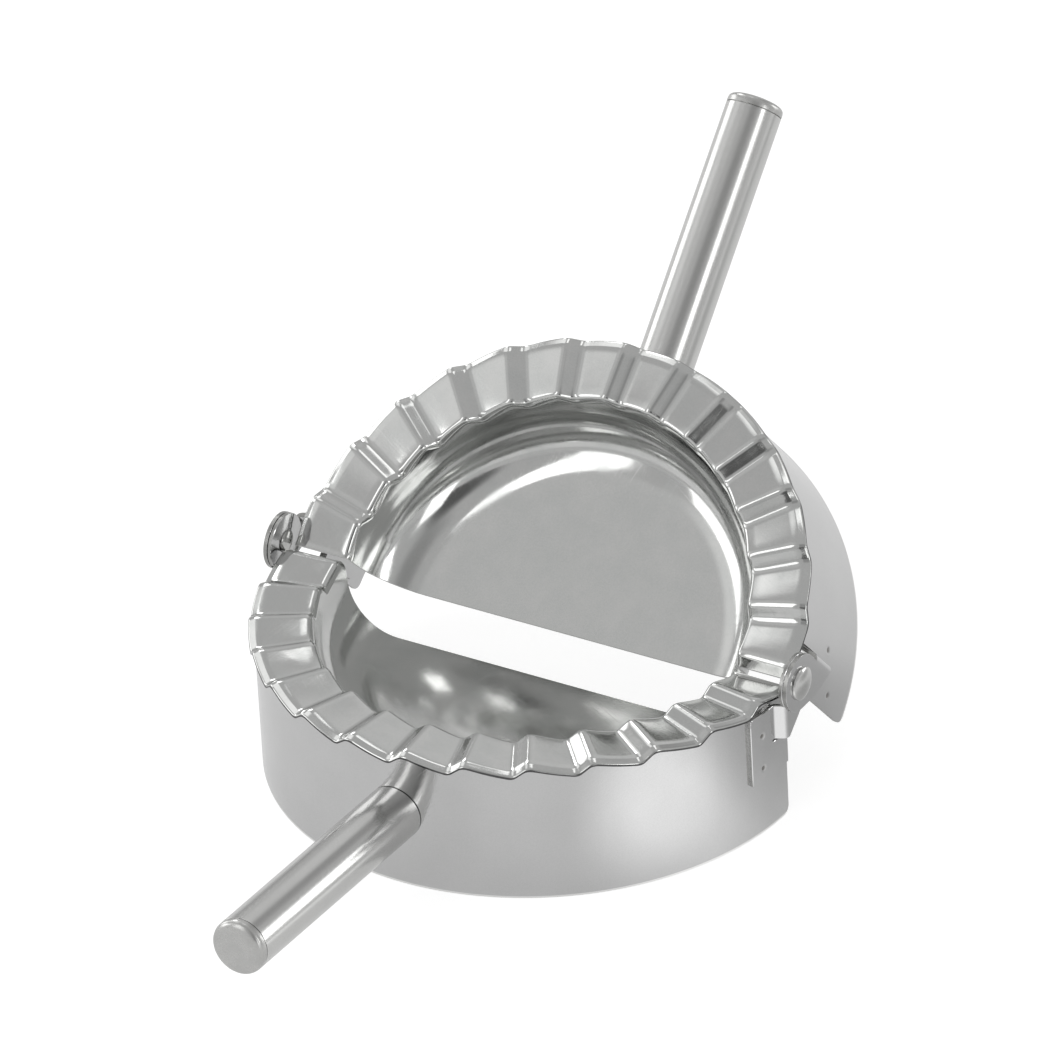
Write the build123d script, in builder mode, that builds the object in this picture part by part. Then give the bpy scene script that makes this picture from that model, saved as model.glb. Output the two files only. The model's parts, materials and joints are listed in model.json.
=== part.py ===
from build123d import *

import os
from dataclasses import dataclass
from math import acos, asin, cos, degrees, radians, sin

# Hinged ravioli mold of stainless sheet, in millimetres.
#
# Two half-round moulds turn on one hinge line. Each has a skirt that cuts the dough, a pressed plate
# with half a bowl and a pleated rim, and a tube handle. The front half stands on the table and the
# rear half is raised, as when dough has just been laid in.
#
# The pieces of a half are all drawn flat and in front of the hinge line, which runs along x, with the
# table at z = 0. The rear half is the mirror image of that, turned up about the hinge.

# Skirt
skirt_radius = 60.0
skirt_height = 32.4
skirt_wall = 0.8
cutting_bevel = 0.4
end_gap = 0.5
lower_corner_radius = 2.0

# Pleated rim of the pressed plate
plate_thickness = 1.0
rim_overhang = 1.2
rim_width = 13.7
pleats_per_half = 14
pleat_depth = 2.3
pleat_riser_width = 3.2
pleat_sag = 0.2
front_ridge_angle = 87.1
rear_ridge_lag = 2.4
ridge_round_ramp = 1.6
ridge_round_riser = 0.9
ramp_steps = 4
ridge_steps = 4
lip_width = 0.9
lip_drop = 0.15
lip_round = 0.7
lip_round_middle = 0.2
weld_gap = 0.02

# Half bowl
bowl_depth = 16.0
bowl_corner_radius = 12.0
bowl_draft = 1.5

# Hinge
axis_above_rim = 0.6
raised_angle = 41.7
bracket_thickness = 0.9
ear_clearance = 1.0
ear_gap = 0.1
ear_radius = 6.3
ear_foot = 8.5
tab_bottom = 10.9
tab_slit = 0.5
under_lip_gap = 0.4
notch_gap = 0.7
spot_radius = 1.2
spot_dent = 0.15

# Hinge rivet
rivet_radius = 1.6
rivet_play = 0.05
rivet_head_radius = 3.7
rivet_head_height = 1.5
rivet_rim_height = 0.6
rivet_tail_radius = 2.5
rivet_tail_height = 0.5

# Handle
handle_radius = 6.2
handle_wall = 1.5
handle_length = 63.0
handle_below_rim = 15.0
handle_tilt = 3.0
cap_thickness = 2.6
cap_edge_radius = 1.4
cap_spigot_length = 5.0
insert_length = 20.0
fit_gap = 0.03

# Handle screw and the saddle under its head
screw_radius = 2.5
screw_reach = 14.0
screw_head_radius = 4.5
screw_head_height = 2.6
screw_head_round = 1.0
screw_hole_play = 0.2
screw_end_room = 1.0
socket_across_flats = 3.0
socket_depth = 1.6
saddle_width = 13.0
saddle_height = 12.0
saddle_thickness = 1.8
saddle_corner_radius = 2.0

# Places worked out from the sizes above
skirt_inner_radius = skirt_radius - skirt_wall
rim_radius = skirt_radius + rim_overhang
bowl_radius = rim_radius - rim_width
band_start = bowl_radius - 3 * plate_thickness
pleat_pitch = 180 / pleats_per_half
pleat_crest = pleat_depth / 2
axis_height = skirt_height + axis_above_rim
tab_top = skirt_height - pleat_crest - plate_thickness - lip_drop - under_lip_gap
front_ear_face = rim_radius + ear_clearance
rear_ear_face = front_ear_face + bracket_thickness + ear_gap
rivet_seat = rear_ear_face + bracket_thickness
screw_seat = -skirt_wall - saddle_thickness
hinge_axis = Axis((0, 0, axis_height), (1, 0, 0))
cut_plane = Plane.XZ.offset(end_gap / 2)


@dataclass
class PleatForm:
    """Which way up one half's pleats are, and the angle of the ridge nearest to its handle."""

    sign: int
    ridge_angle: float


# The rear pleats turn over onto the front ones, and trail them to leave room for the dough
front_pleats = PleatForm(sign=1, ridge_angle=front_ridge_angle)
rear_pleats = PleatForm(sign=-1, ridge_angle=front_ridge_angle + rear_ridge_lag)


@dataclass
class BracketForm:
    """The sizes in which one half's hinge brackets differ from the other's.

    Lengths along the skirt are measured from the hinge line and heights from the rim downwards.
    """

    leaf_radius: float
    leaf_reach: float
    leaf_end: float
    leaf_bottom: float
    leaf_bend: float
    ear_bend: float
    ear_face: float


# The front leaf is welded on the outside of its skirt
front_form = BracketForm(
    leaf_radius=skirt_radius,
    leaf_reach=13.3,
    leaf_end=1.0,
    leaf_bottom=19.1,
    leaf_bend=5.5,
    ear_bend=4.4,
    ear_face=front_ear_face,
)
front_spots = [(9.8, 8.1), (9.8, 16.0)]

# The rear leaf is welded inside its skirt, and its ear comes out through a notch
rear_form = BracketForm(
    leaf_radius=skirt_inner_radius - bracket_thickness,
    leaf_reach=15.5,
    leaf_end=1.0,
    leaf_bottom=25.6,
    leaf_bend=8.6,
    ear_bend=7.0,
    ear_face=rear_ear_face,
)
rear_spots = [(12.0, 17.1), (3.6, 22.1)]


def polar(radius, angle):
    """A point on a circle, at an angle that is measured from +x towards the front."""
    return Vector(radius * cos(radians(angle)), -radius * sin(radians(angle)), 0)


def left_of(piece):
    """The left twin of a piece of the right side."""
    return mirror(piece, about=Plane.YZ)


def half_turned(profile):
    """Turns a profile right round the mould's axis and keeps what lies in front of the hinge line."""
    with BuildPart(mode=Mode.PRIVATE) as body:
        revolve(profile, axis=Axis.Z)
        split(bisect_by=cut_plane, keep=Keep.TOP)
    return body.part


# Pleats: a gentle ramp rises from the foot of each steep riser to the next, rounded ridge

def beside_ridge(radius, ridge_angle, along):
    """The angle, at a radius, of a line that runs beside a ridge and parallel to it."""
    return ridge_angle + degrees(asin(along / radius))


def ridge_point(turn):
    """How far a point of the rounded ridge lies past its middle, and its height. Turn is 0 to 1."""
    ramp_part = (1 - turn) ** 2 * ridge_round_ramp
    riser_part = turn**2 * ridge_round_riser
    ramp_slope = pleat_depth * (1 + pleat_sag) / ramp_length()
    riser_slope = pleat_depth / pleat_riser_width
    return riser_part - ramp_part, pleat_crest - ramp_part * ramp_slope - riser_part * riser_slope


def ramp_length():
    return radians(pleat_pitch) * rim_radius - pleat_riser_width


def ramp_height(share):
    """The height of the ramp, a share of the way from the foot of its riser to the next ridge."""
    return pleat_depth * ((1 - pleat_sag) * share + pleat_sag * share**2) - pleat_crest


def pleat_lines(inner_radius, outer_radius, ridge_angle):
    """The lines that cross the rim, in order: angle at each radius, and height."""
    radii = (inner_radius, outer_radius)
    lines = []
    ridges = int(90 / pleat_pitch) + 1
    for ridge in range(-ridges - 1, ridges):
        start = ridge_angle + ridge * pleat_pitch
        end = start + pleat_pitch
        for step in range(ramp_steps):
            share = (1 - ridge_round_ramp / ramp_length()) * step / ramp_steps
            feet = [beside_ridge(radius, start, pleat_riser_width) for radius in radii]
            lines.append(([foot + share * (end - foot) for foot in feet], ramp_height(share)))
        for step in range(ridge_steps + 1):
            along, height = ridge_point(step / ridge_steps)
            lines.append(([beside_ridge(radius, end, along) for radius in radii], height))
    return lines


def pleated_band(outline, pleats):
    """A band along the rim whose cross section, in (radius, height) points, follows the pleats."""
    lines = pleat_lines(band_start, rim_radius, pleats.ridge_angle)
    with BuildPart(mode=Mode.PRIVATE) as band:
        for (inner_angle, outer_angle), height in lines:
            inner = polar(band_start, inner_angle)
            across = polar(rim_radius, outer_angle) - inner
            stretch = across.length / (rim_radius - band_start)
            foot = inner + Vector(0, 0, skirt_height + pleats.sign * height)
            with BuildSketch(Plane(foot, across, across.cross(Vector(0, 0, 1)))):
                Polygon(*[((radius - band_start) * stretch, rise) for radius, rise in outline], align=None)
        loft(ruled=True)
    return band.part


def above_rim(level, pleats):
    """Everything over the rim, from a level that is measured from its top face."""
    start = band_start - plate_thickness
    reach = rim_radius + plate_thickness
    top = 4 * pleat_depth
    return pleated_band([(start, level), (reach, level), (reach, top), (start, top)], pleats)


# Pressed plate

def bowl_space(offset):
    """Half of the space in the bowl, up past the pleats, its wall and floor moved out by an offset."""
    floor = skirt_height - bowl_depth - offset
    mouth = bowl_radius + offset
    brim = skirt_height + 3 * pleat_depth
    with BuildSketch(Plane.XZ, mode=Mode.PRIVATE) as half_section:
        with BuildLine():
            wall = FilletPolyline(
                (0, floor),
                (mouth - bowl_draft, floor),
                (mouth, skirt_height),
                radius=bowl_corner_radius + offset,
            )
            Polyline(wall @ 1, (mouth, brim), (0, brim), wall @ 0)
        make_face()
    return half_turned(half_section.sketch)


def press_plate(pleats):
    lip_foot = -plate_thickness - lip_drop
    rim_outline = [
        (band_start, 0),
        (rim_radius - lip_round, 0),
        (rim_radius - lip_round_middle, -lip_round_middle),
        (rim_radius, -lip_round),
        (rim_radius, lip_foot),
        (rim_radius - lip_width, lip_foot),
        (rim_radius - lip_width, -plate_thickness),
        (band_start, -plate_thickness),
    ]
    with BuildPart() as bowl:
        add(bowl_space(plate_thickness))
        add(bowl_space(0), mode=Mode.SUBTRACT)
        add(above_rim(0, pleats), mode=Mode.SUBTRACT)
    with BuildPart() as plate:
        add(pleated_band(rim_outline, pleats))
        add(bowl_space(0), mode=Mode.SUBTRACT)
        split(bisect_by=cut_plane, keep=Keep.TOP)
        add(bowl)
    return plate.part


# Skirt

def skirt(pleats, spots, notch_reach=0):
    """The band under the plate, cut on top to the plate's underside, with a notch at each end if asked."""
    top = skirt_height + 2 * pleat_depth
    with BuildPart() as band:
        with BuildSketch(Plane.XZ):
            Polygon(
                (skirt_inner_radius + cutting_bevel, 0),
                (skirt_radius, 0),
                (skirt_radius, top),
                (skirt_inner_radius, top),
                (skirt_inner_radius, cutting_bevel),
                align=None,
            )
        revolve(axis=Axis.Z)
        split(bisect_by=cut_plane, keep=Keep.TOP)
        fillet(band.edges().filter_by(Axis.X).group_by(Axis.Z)[0], lower_corner_radius)
        add(above_rim(-plate_thickness - weld_gap, pleats), mode=Mode.SUBTRACT)
        with BuildSketch(handle_plane()):
            Circle(screw_radius + screw_hole_play)
        extrude(amount=skirt_radius / 2, both=True, mode=Mode.SUBTRACT)
        if notch_reach:
            with BuildSketch(Plane.YZ):
                with Locations((0, skirt_height - tab_bottom - notch_gap)):
                    Rectangle(notch_reach, top, align=(Align.MAX, Align.MIN))
            extrude(amount=2 * skirt_radius, both=True, mode=Mode.SUBTRACT)
        if spots:
            marks = spot_marks(spots, skirt_radius)
            add(marks, mode=Mode.SUBTRACT)
            add(left_of(marks), mode=Mode.SUBTRACT)
    return band.part


def spot_marks(spots, radius):
    """Short pegs that press the round dents of spot welds into the outer face, at the right end."""
    with BuildPart(mode=Mode.PRIVATE) as marks:
        for along, below_rim in spots:
            outward = polar(1, degrees(asin(along / radius)))
            centre = outward * (radius - spot_dent) + Vector(0, 0, skirt_height - below_rim)
            with BuildSketch(Plane(centre, (0, 0, 1), outward)):
                Circle(spot_radius)
            extrude(amount=1)
    return marks.part


# Hinge brackets

def bracket(form, spots):
    """The right bracket: a leaf along the skirt, a tab that bends outwards and a round ear."""
    middle = form.leaf_radius + bracket_thickness / 2
    ear_middle = form.ear_face + bracket_thickness / 2
    leaf_slit = form.leaf_bend + bracket_thickness
    beyond = form.leaf_reach + 2 * bracket_thickness
    tangent = acos(ear_radius / ear_foot)
    with BuildPart() as sheet:
        with BuildSketch():
            with BuildLine():
                start = degrees(asin(form.leaf_reach / middle))
                leaf = CenterArc((0, 0), middle, -start, start - degrees(asin(form.leaf_bend / middle)))
                Polyline(leaf @ 1, (ear_middle, -form.ear_bend), (ear_middle, 2 * ear_radius))
                offset(amount=bracket_thickness / 2, kind=Kind.INTERSECTION, side=Side.BOTH)
            make_face()
        extrude(amount=axis_height + ear_radius)
        with BuildSketch(Plane.YZ):
            Polygon(
                (-beyond, skirt_height - form.leaf_bottom),
                (-leaf_slit, skirt_height - form.leaf_bottom),
                (-leaf_slit, skirt_height - tab_bottom),
                (-form.ear_bend, skirt_height - tab_bottom),
                (0, axis_height - ear_foot),
                (ear_radius * sin(tangent), axis_height - ear_radius * cos(tangent)),
                (0, axis_height),
                (-ear_radius, axis_height),
                (-ear_radius, tab_top),
                (-beyond, tab_top),
                align=None,
            )
            with Locations((-form.ear_bend, tab_top)):
                Rectangle(beyond, 2 * ear_radius, align=(Align.MAX, Align.MIN), mode=Mode.SUBTRACT)
        extrude(amount=2 * ear_middle, mode=Mode.INTERSECT)
        with BuildSketch(Plane.XY.offset(skirt_height - form.leaf_bottom)):
            with BuildLine():
                outer_radius = form.leaf_radius + bracket_thickness
                start = degrees(asin(leaf_slit / form.leaf_radius))
                sweep = start - degrees(asin(form.leaf_end / form.leaf_radius))
                inner = CenterArc((0, 0), form.leaf_radius, -start, sweep)
                outer = CenterArc((0, 0), outer_radius, -start, sweep)
                Line(inner @ 0, outer @ 0)
                Line(inner @ 1, outer @ 1)
            make_face()
        extrude(amount=form.leaf_bottom - tab_bottom - tab_slit)
        with BuildSketch(Plane.YZ.offset(form.ear_face)):
            with Locations((0, axis_height)):
                Circle(ear_radius)
        extrude(amount=bracket_thickness)
        with BuildSketch(Plane.YZ.offset(form.ear_face)):
            with Locations((0, axis_height)):
                Circle(rivet_radius + rivet_play)
        extrude(amount=bracket_thickness, mode=Mode.SUBTRACT)
        if spots:
            add(spot_marks(spots, form.leaf_radius + bracket_thickness), mode=Mode.SUBTRACT)
    return sheet.part


def hinge_rivet():
    """The right rivet: a domed head on the outer ear, a shank and a flattened tail inside."""
    tail_face = front_ear_face - rivet_play
    dome_height = rivet_head_height - rivet_rim_height
    dome_radius = (rivet_head_radius**2 + dome_height**2) / (2 * dome_height)
    with BuildPart() as rivet:
        with BuildSketch(Plane.XZ):
            with BuildLine():
                side = Polyline(
                    (rivet_seat + rivet_head_height, axis_height),
                    (tail_face - rivet_tail_height, axis_height),
                    (tail_face - rivet_tail_height, axis_height + rivet_tail_radius),
                    (tail_face, axis_height + rivet_tail_radius),
                    (tail_face, axis_height + rivet_radius),
                    (rivet_seat, axis_height + rivet_radius),
                    (rivet_seat, axis_height + rivet_head_radius),
                    (rivet_seat + rivet_rim_height, axis_height + rivet_head_radius),
                )
                RadiusArc(side @ 1, side @ 0, dome_radius)
            make_face()
        revolve(axis=hinge_axis)
    return rivet.part


# Handle

def handle_plane(distance=0):
    """The plane square to the handle, a distance out from the middle of its root on the skirt."""
    outward = Vector(0, -cos(radians(handle_tilt)), sin(radians(handle_tilt)))
    root = Vector(0, -skirt_radius, skirt_height - handle_below_rim)
    return Plane(root + outward * distance, (1, 0, 0), outward)


def skirt_core(radius):
    """A solid cylinder that fills the skirt, for pieces that are shaped to its curve."""
    with BuildPart(mode=Mode.PRIVATE) as core:
        with BuildSketch():
            Circle(radius)
        extrude(amount=skirt_height)
    return core.part


def handle_tube():
    with BuildPart() as tube:
        with BuildSketch(handle_plane(-handle_radius)):
            Circle(handle_radius)
            Circle(handle_radius - handle_wall, mode=Mode.SUBTRACT)
        extrude(amount=handle_radius + handle_length - cap_thickness)
        add(skirt_core(skirt_radius), mode=Mode.SUBTRACT)
    return tube.part


def handle_end_cap():
    with BuildPart() as cap:
        with BuildSketch(handle_plane(handle_length - cap_thickness)):
            Circle(handle_radius)
        extrude(amount=cap_thickness)
        fillet(cap.faces().sort_by(Axis.Y)[0].edges(), cap_edge_radius)
        with BuildSketch(handle_plane(handle_length - cap_thickness)):
            Circle(handle_radius - handle_wall - fit_gap)
        extrude(amount=-cap_spigot_length)
    return cap.part


def handle_insert():
    """The threaded bar in the root of the tube."""
    with BuildPart() as insert:
        with BuildSketch(handle_plane(-handle_radius)):
            Circle(handle_radius - handle_wall - fit_gap)
        extrude(amount=handle_radius + insert_length)
        with BuildSketch(handle_plane()):
            Circle(screw_radius + fit_gap)
        extrude(amount=screw_reach + screw_end_room, both=True, mode=Mode.SUBTRACT)
        add(skirt_core(skirt_radius), mode=Mode.SUBTRACT)
    return insert.part


def handle_saddle():
    """The block inside the skirt: curved on the skirt, flat under the screw head."""
    with BuildPart() as saddle:
        with BuildSketch(handle_plane(screw_seat)):
            RectangleRounded(saddle_width, saddle_height, saddle_corner_radius)
            Circle(screw_radius + screw_hole_play, mode=Mode.SUBTRACT)
        extrude(amount=saddle_thickness + skirt_wall)
        add(skirt_core(skirt_inner_radius), mode=Mode.INTERSECT)
    return saddle.part


def handle_screw():
    """A button head screw that pulls the handle against the skirt."""
    with BuildPart() as screw:
        with BuildSketch(handle_plane(screw_seat)):
            Circle(screw_head_radius)
        extrude(amount=-screw_head_height)
        fillet(screw.faces().sort_by(Axis.Y)[-1].edges(), screw_head_round)
        with BuildSketch(handle_plane(screw_seat - screw_head_height)):
            RegularPolygon(socket_across_flats / 2, 6, major_radius=False)
        extrude(amount=socket_depth, mode=Mode.SUBTRACT)
        with BuildSketch(handle_plane(screw_seat)):
            Circle(screw_radius)
        extrude(amount=screw_reach - screw_seat)
    return screw.part


# Assembly

def half_pieces(pleats, form, leaf_spots, skirt_spots, notch_reach=0):
    """The pieces that both halves have, by name."""
    right_bracket = bracket(form, leaf_spots)
    return {
        "skirt": skirt(pleats, skirt_spots, notch_reach),
        "press_plate": press_plate(pleats),
        "right_hinge_bracket": right_bracket,
        "left_hinge_bracket": left_of(right_bracket),
        "handle_tube": handle_tube(),
        "handle_end_cap": handle_end_cap(),
        "handle_insert": handle_insert(),
        "handle_saddle": handle_saddle(),
        "handle_screw": handle_screw(),
    }


right_rivet = hinge_rivet()
rivets = {"right_hinge_rivet": right_rivet, "left_hinge_rivet": left_of(right_rivet)}
front_half = half_pieces(front_pleats, front_form, front_spots, [])
rear_half = half_pieces(rear_pleats, rear_form, [], rear_spots, rear_form.leaf_bend + notch_gap)

pieces = {}
for name, piece in front_half.items():
    pieces[f"front_{name}"] = piece
for name, piece in (rear_half | rivets).items():
    pieces[f"rear_{name}"] = mirror(piece, about=Plane.XZ).rotate(hinge_axis, raised_angle)

# The origin is the middle of the base of the whole model's box
span = Compound(children=list(pieces.values())).bounding_box()
origin = Vector((span.min.X + span.max.X) / 2, (span.min.Y + span.max.Y) / 2, span.min.Z)
print(f"the hinge line is at y = {-origin.Y:.5f}, z = {axis_height - origin.Z:.5f}")
print(f"the box is {span.size.X:.2f} by {span.size.Y:.2f} by {span.size.Z:.2f}")

os.makedirs("parts", exist_ok=True)
for name, piece in pieces.items():
    with BuildPart() as placed:
        add(piece.moved(Location(-origin)))
    placed.part.label = name
    export_step(placed.part, f"parts/{name}.step")
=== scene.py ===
import json
import logging
import math
from collections.abc import Callable, Iterable, Sequence
from dataclasses import dataclass, field, replace
from enum import Enum
from typing import ClassVar

import bmesh
import bpy
from mathutils import Matrix, Vector

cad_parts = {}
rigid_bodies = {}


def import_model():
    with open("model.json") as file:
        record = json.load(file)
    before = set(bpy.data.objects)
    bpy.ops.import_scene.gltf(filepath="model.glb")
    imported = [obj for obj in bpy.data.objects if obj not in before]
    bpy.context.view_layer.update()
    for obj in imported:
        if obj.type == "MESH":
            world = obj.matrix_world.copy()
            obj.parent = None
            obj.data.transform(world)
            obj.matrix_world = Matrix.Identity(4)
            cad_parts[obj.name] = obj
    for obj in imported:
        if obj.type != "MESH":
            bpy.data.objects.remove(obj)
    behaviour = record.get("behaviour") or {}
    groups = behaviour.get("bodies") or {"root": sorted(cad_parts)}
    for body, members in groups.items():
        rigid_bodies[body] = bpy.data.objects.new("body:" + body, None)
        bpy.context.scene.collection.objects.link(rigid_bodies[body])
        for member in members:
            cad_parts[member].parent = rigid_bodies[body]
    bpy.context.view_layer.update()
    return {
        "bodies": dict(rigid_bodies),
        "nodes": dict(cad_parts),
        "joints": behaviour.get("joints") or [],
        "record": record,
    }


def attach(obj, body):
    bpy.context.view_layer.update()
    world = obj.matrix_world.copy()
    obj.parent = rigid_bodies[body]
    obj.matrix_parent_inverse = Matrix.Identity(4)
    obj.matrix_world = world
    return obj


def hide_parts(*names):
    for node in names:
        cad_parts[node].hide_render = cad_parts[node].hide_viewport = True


# The looks of a hinged ravioli mold of stainless sheet.
#
# Each half is drawn as it lies flat in front of the hinge line, with the table at z = 0 and the
# mould's axis along z. The rear half is the mirror image of that, turned up about the hinge.

MM = 0.001
LOG = logging.getLogger("ravioli_mold")

Colour = tuple[float, float, float]
PointPair = tuple[Vector, Vector]


class Half(Enum):
    """The two halves of the mould."""

    FRONT = "front"
    REAR = "rear"

    @property
    def body(self) -> str:
        """The moving body that this half's pieces ride on."""
        return f"{self.value}_half"

    @property
    def facing(self) -> int:
        """The sign that turns a drawing of the front half into this half, along y."""
        return 1 if self is Half.FRONT else -1


class Side(Enum):
    """The two ends of the hinge line."""

    RIGHT = "right"
    LEFT = "left"

    @property
    def facing(self) -> int:
        """The sign that turns a drawing of the right end into this end, along x."""
        return 1 if self is Side.RIGHT else -1


class Surface(Enum):
    """The two kinds of face on a sheet, in the order of a piece's materials."""

    FACE = 0
    CUT_EDGE = 1


@dataclass(frozen=True)
class HingeLine:
    """The line through both rivets, and how far the rear half is raised at rest."""

    y: float
    z: float
    raised: float

    @classmethod
    def of_frame(cls, frame: dict) -> "HingeLine":
        """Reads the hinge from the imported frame.


        Returns:
            The hinge line, whose joint is flat on the table at its lower limit.
        """
        joint = frame["joints"][0]
        _, y, z = joint["pos_m"]
        return cls(y, z, math.radians(-joint["range_deg"][0]))

    def placement(self, half: Half) -> Matrix:
        """Where a half stands at rest.

        Args:
            half: The half.

        Returns:
            The matrix from the half's flat drawing to the shared frame.
        """
        if half is Half.FRONT:
            return Matrix.Translation((0, self.y, 0))
        turn = Matrix.Rotation(self.raised, 4, "X")
        return Matrix.Translation((0, self.y, self.z)) @ turn @ Matrix.Translation((0, 0, -self.z))


@dataclass(frozen=True)
class GrainFrame:
    """A frame for a finish: its z axis is the one that the grain runs round."""

    name: str
    to_world: Matrix

    def turned(self, name: str, local: Matrix) -> "GrainFrame":
        """Another frame, given in this one.

        Args:
            name: The new frame's name, which follows this one's.
            local: The new frame's axes and origin in this one.

        Returns:
            The new frame.
        """
        return GrainFrame(f"{self.name}_{name}", self.to_world @ local)


def polar(radius: float, angle: float, height: float) -> Vector:
    """A point by its radius, its angle from +x towards the front, and its height."""
    return Vector((radius * math.cos(angle), -radius * math.sin(angle), height))


def steps(start: float, end: float, count: int) -> list[float]:
    """Evenly spaced values from start to end, both included."""
    return [start + (end - start) * step / count for step in range(count + 1)]


def smooth(share: float) -> float:
    """Eases a share, held between 0 and 1, in and out."""
    share = min(max(share, 0.0), 1.0)
    return share * share * (3 - 2 * share)


def round_ring(radius: float, height: float, sides: int) -> list[Vector]:
    """Evenly spaced points round the z axis."""
    turns = [math.tau * side / sides for side in range(sides)]
    return [Vector((radius * math.cos(turn), radius * math.sin(turn), height)) for turn in turns]


# Node trees

class Wiring:
    """Adds nodes to a shader tree and joins them."""

    # Where a Mix node has its share and the two things that it mixes
    level_inputs: ClassVar[tuple[int, ...]] = (0, 2, 3)
    colour_inputs: ClassVar[tuple[int, ...]] = (0, 6, 7)

    def __init__(self, tree: bpy.types.NodeTree) -> None:
        """Keeps the tree that the nodes go into."""
        self.tree = tree

    def feed(self, socket: bpy.types.NodeSocket, value: object) -> None:
        """Links a socket to another one, or sets its value.

        Args:
            socket: The input socket.
            value: An output socket, or a plain value.
        """
        if isinstance(value, bpy.types.NodeSocket):
            self.tree.links.new(value, socket)
        else:
            socket.default_value = value

    def add(self, kind: str, inputs: dict[str, object] | None = None, **settings: object) -> bpy.types.Node:
        """Adds a node.

        Args:
            kind: The node's type name.
            inputs: What feeds its inputs, by name.
            **settings: The node's own properties.

        Returns:
            The node.
        """
        node = self.tree.nodes.new(kind)
        for key, value in settings.items():
            setattr(node, key, value)
        for key, value in (inputs or {}).items():
            self.feed(node.inputs[key], value)
        return node

    def math(self, operation: str, *values: object) -> bpy.types.NodeSocket:
        """Adds a Math node.

        Args:
            operation: Its operation.
            *values: What feeds its inputs, in order.

        Returns:
            Its output.
        """
        node = self.add("ShaderNodeMath", operation=operation)
        for socket, value in zip(node.inputs, values):
            self.feed(socket, value)
        return node.outputs[0]

    def remap(
        self, value: object, low: float, high: float, to_low: float = 0, to_high: float = 1
    ) -> bpy.types.NodeSocket:
        """Maps a range of a value onto another range, and holds it there.

        Args:
            value: What is mapped.
            low: The value that becomes to_low.
            high: The value that becomes to_high.
            to_low: The new low end.
            to_high: The new high end.

        Returns:
            The mapped value.
        """
        inputs = {"Value": value, "From Min": low, "From Max": high, "To Min": to_low, "To Max": to_high}
        return self.add("ShaderNodeMapRange", inputs, interpolation_type="SMOOTHSTEP").outputs["Result"]

    def mix(self, share: object, first: object, second: object) -> bpy.types.NodeSocket:
        """Mixes two values.

        Args:
            share: How much of the second value, 0 to 1.
            first: The first value.
            second: The second value.

        Returns:
            The mixed value.
        """
        node = self.add("ShaderNodeMix", data_type="FLOAT")
        for number, value in zip(self.level_inputs, (share, first, second)):
            self.feed(node.inputs[number], value)
        return node.outputs[0]

    def blend(self, share: object, first: object, second: object) -> bpy.types.NodeSocket:
        """Mixes two colours.

        Args:
            share: How much of the second colour, 0 to 1.
            first: The first colour, or an output socket that gives one.
            second: The second colour, or an output socket that gives one.

        Returns:
            The mixed colour.
        """
        node = self.add("ShaderNodeMix", data_type="RGBA")
        for number, value in zip(self.colour_inputs, (share, first, second)):
            self.feed(node.inputs[number], (*value, 1) if isinstance(value, tuple) else value)
        return node.outputs[2]

    def weighed_sum(self, parts: Iterable[tuple[object, float]]) -> object:
        """Adds up values by their weights, and leaves out those that weigh nothing.

        Args:
            parts: The values, each with its weight.

        Returns:
            The sum, which is a plain 0 if nothing weighs.
        """
        total: object = 0.0
        for value, weight in parts:
            if weight:
                total = self.math("ADD", self.math("MULTIPLY", value, weight), total)
        return total

    def split(self, place: object) -> Sequence[bpy.types.NodeSocket]:
        """The x, y and z of a place."""
        return self.add("ShaderNodeSeparateXYZ", {"Vector": place}).outputs

    def join(self, x: object, y: object, z: object) -> bpy.types.NodeSocket:
        """The place with these coordinates."""
        return self.add("ShaderNodeCombineXYZ", {"X": x, "Y": y, "Z": z}).outputs[0]

    def radius(self, x: object, y: object) -> bpy.types.NodeSocket:
        """The distance from the z axis."""
        return self.math("SQRT", self.math("ADD", self.math("MULTIPLY", x, x), self.math("MULTIPLY", y, y)))

    def scaled(self, place: object, size: object) -> bpy.types.NodeSocket:
        """A place, measured by a size."""
        inputs = {"Vector": place, "Scale": self.math("DIVIDE", 1.0, size)}
        return self.add("ShaderNodeVectorMath", inputs, operation="SCALE").outputs[0]

    def compare(self, operation: str, first: object, second: object) -> bpy.types.NodeSocket:
        """Makes one value of two vectors.

        Args:
            operation: The Vector Math node's operation.
            first: The first vector.
            second: The second vector.

        Returns:
            The value.
        """
        node = self.add("ShaderNodeVectorMath", operation=operation)
        self.feed(node.inputs[0], first)
        self.feed(node.inputs[1], second)
        return node.outputs["Value"]

    def noise(self, place: object, detail: float = 2, roughness: float = 0.5) -> bpy.types.NodeSocket:
        """A noise of about one unit's size at a place."""
        inputs = {"Vector": place, "Scale": 1.0, "Detail": detail, "Roughness": roughness}
        return self.add("ShaderNodeTexNoise", inputs).outputs["Fac"]


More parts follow.
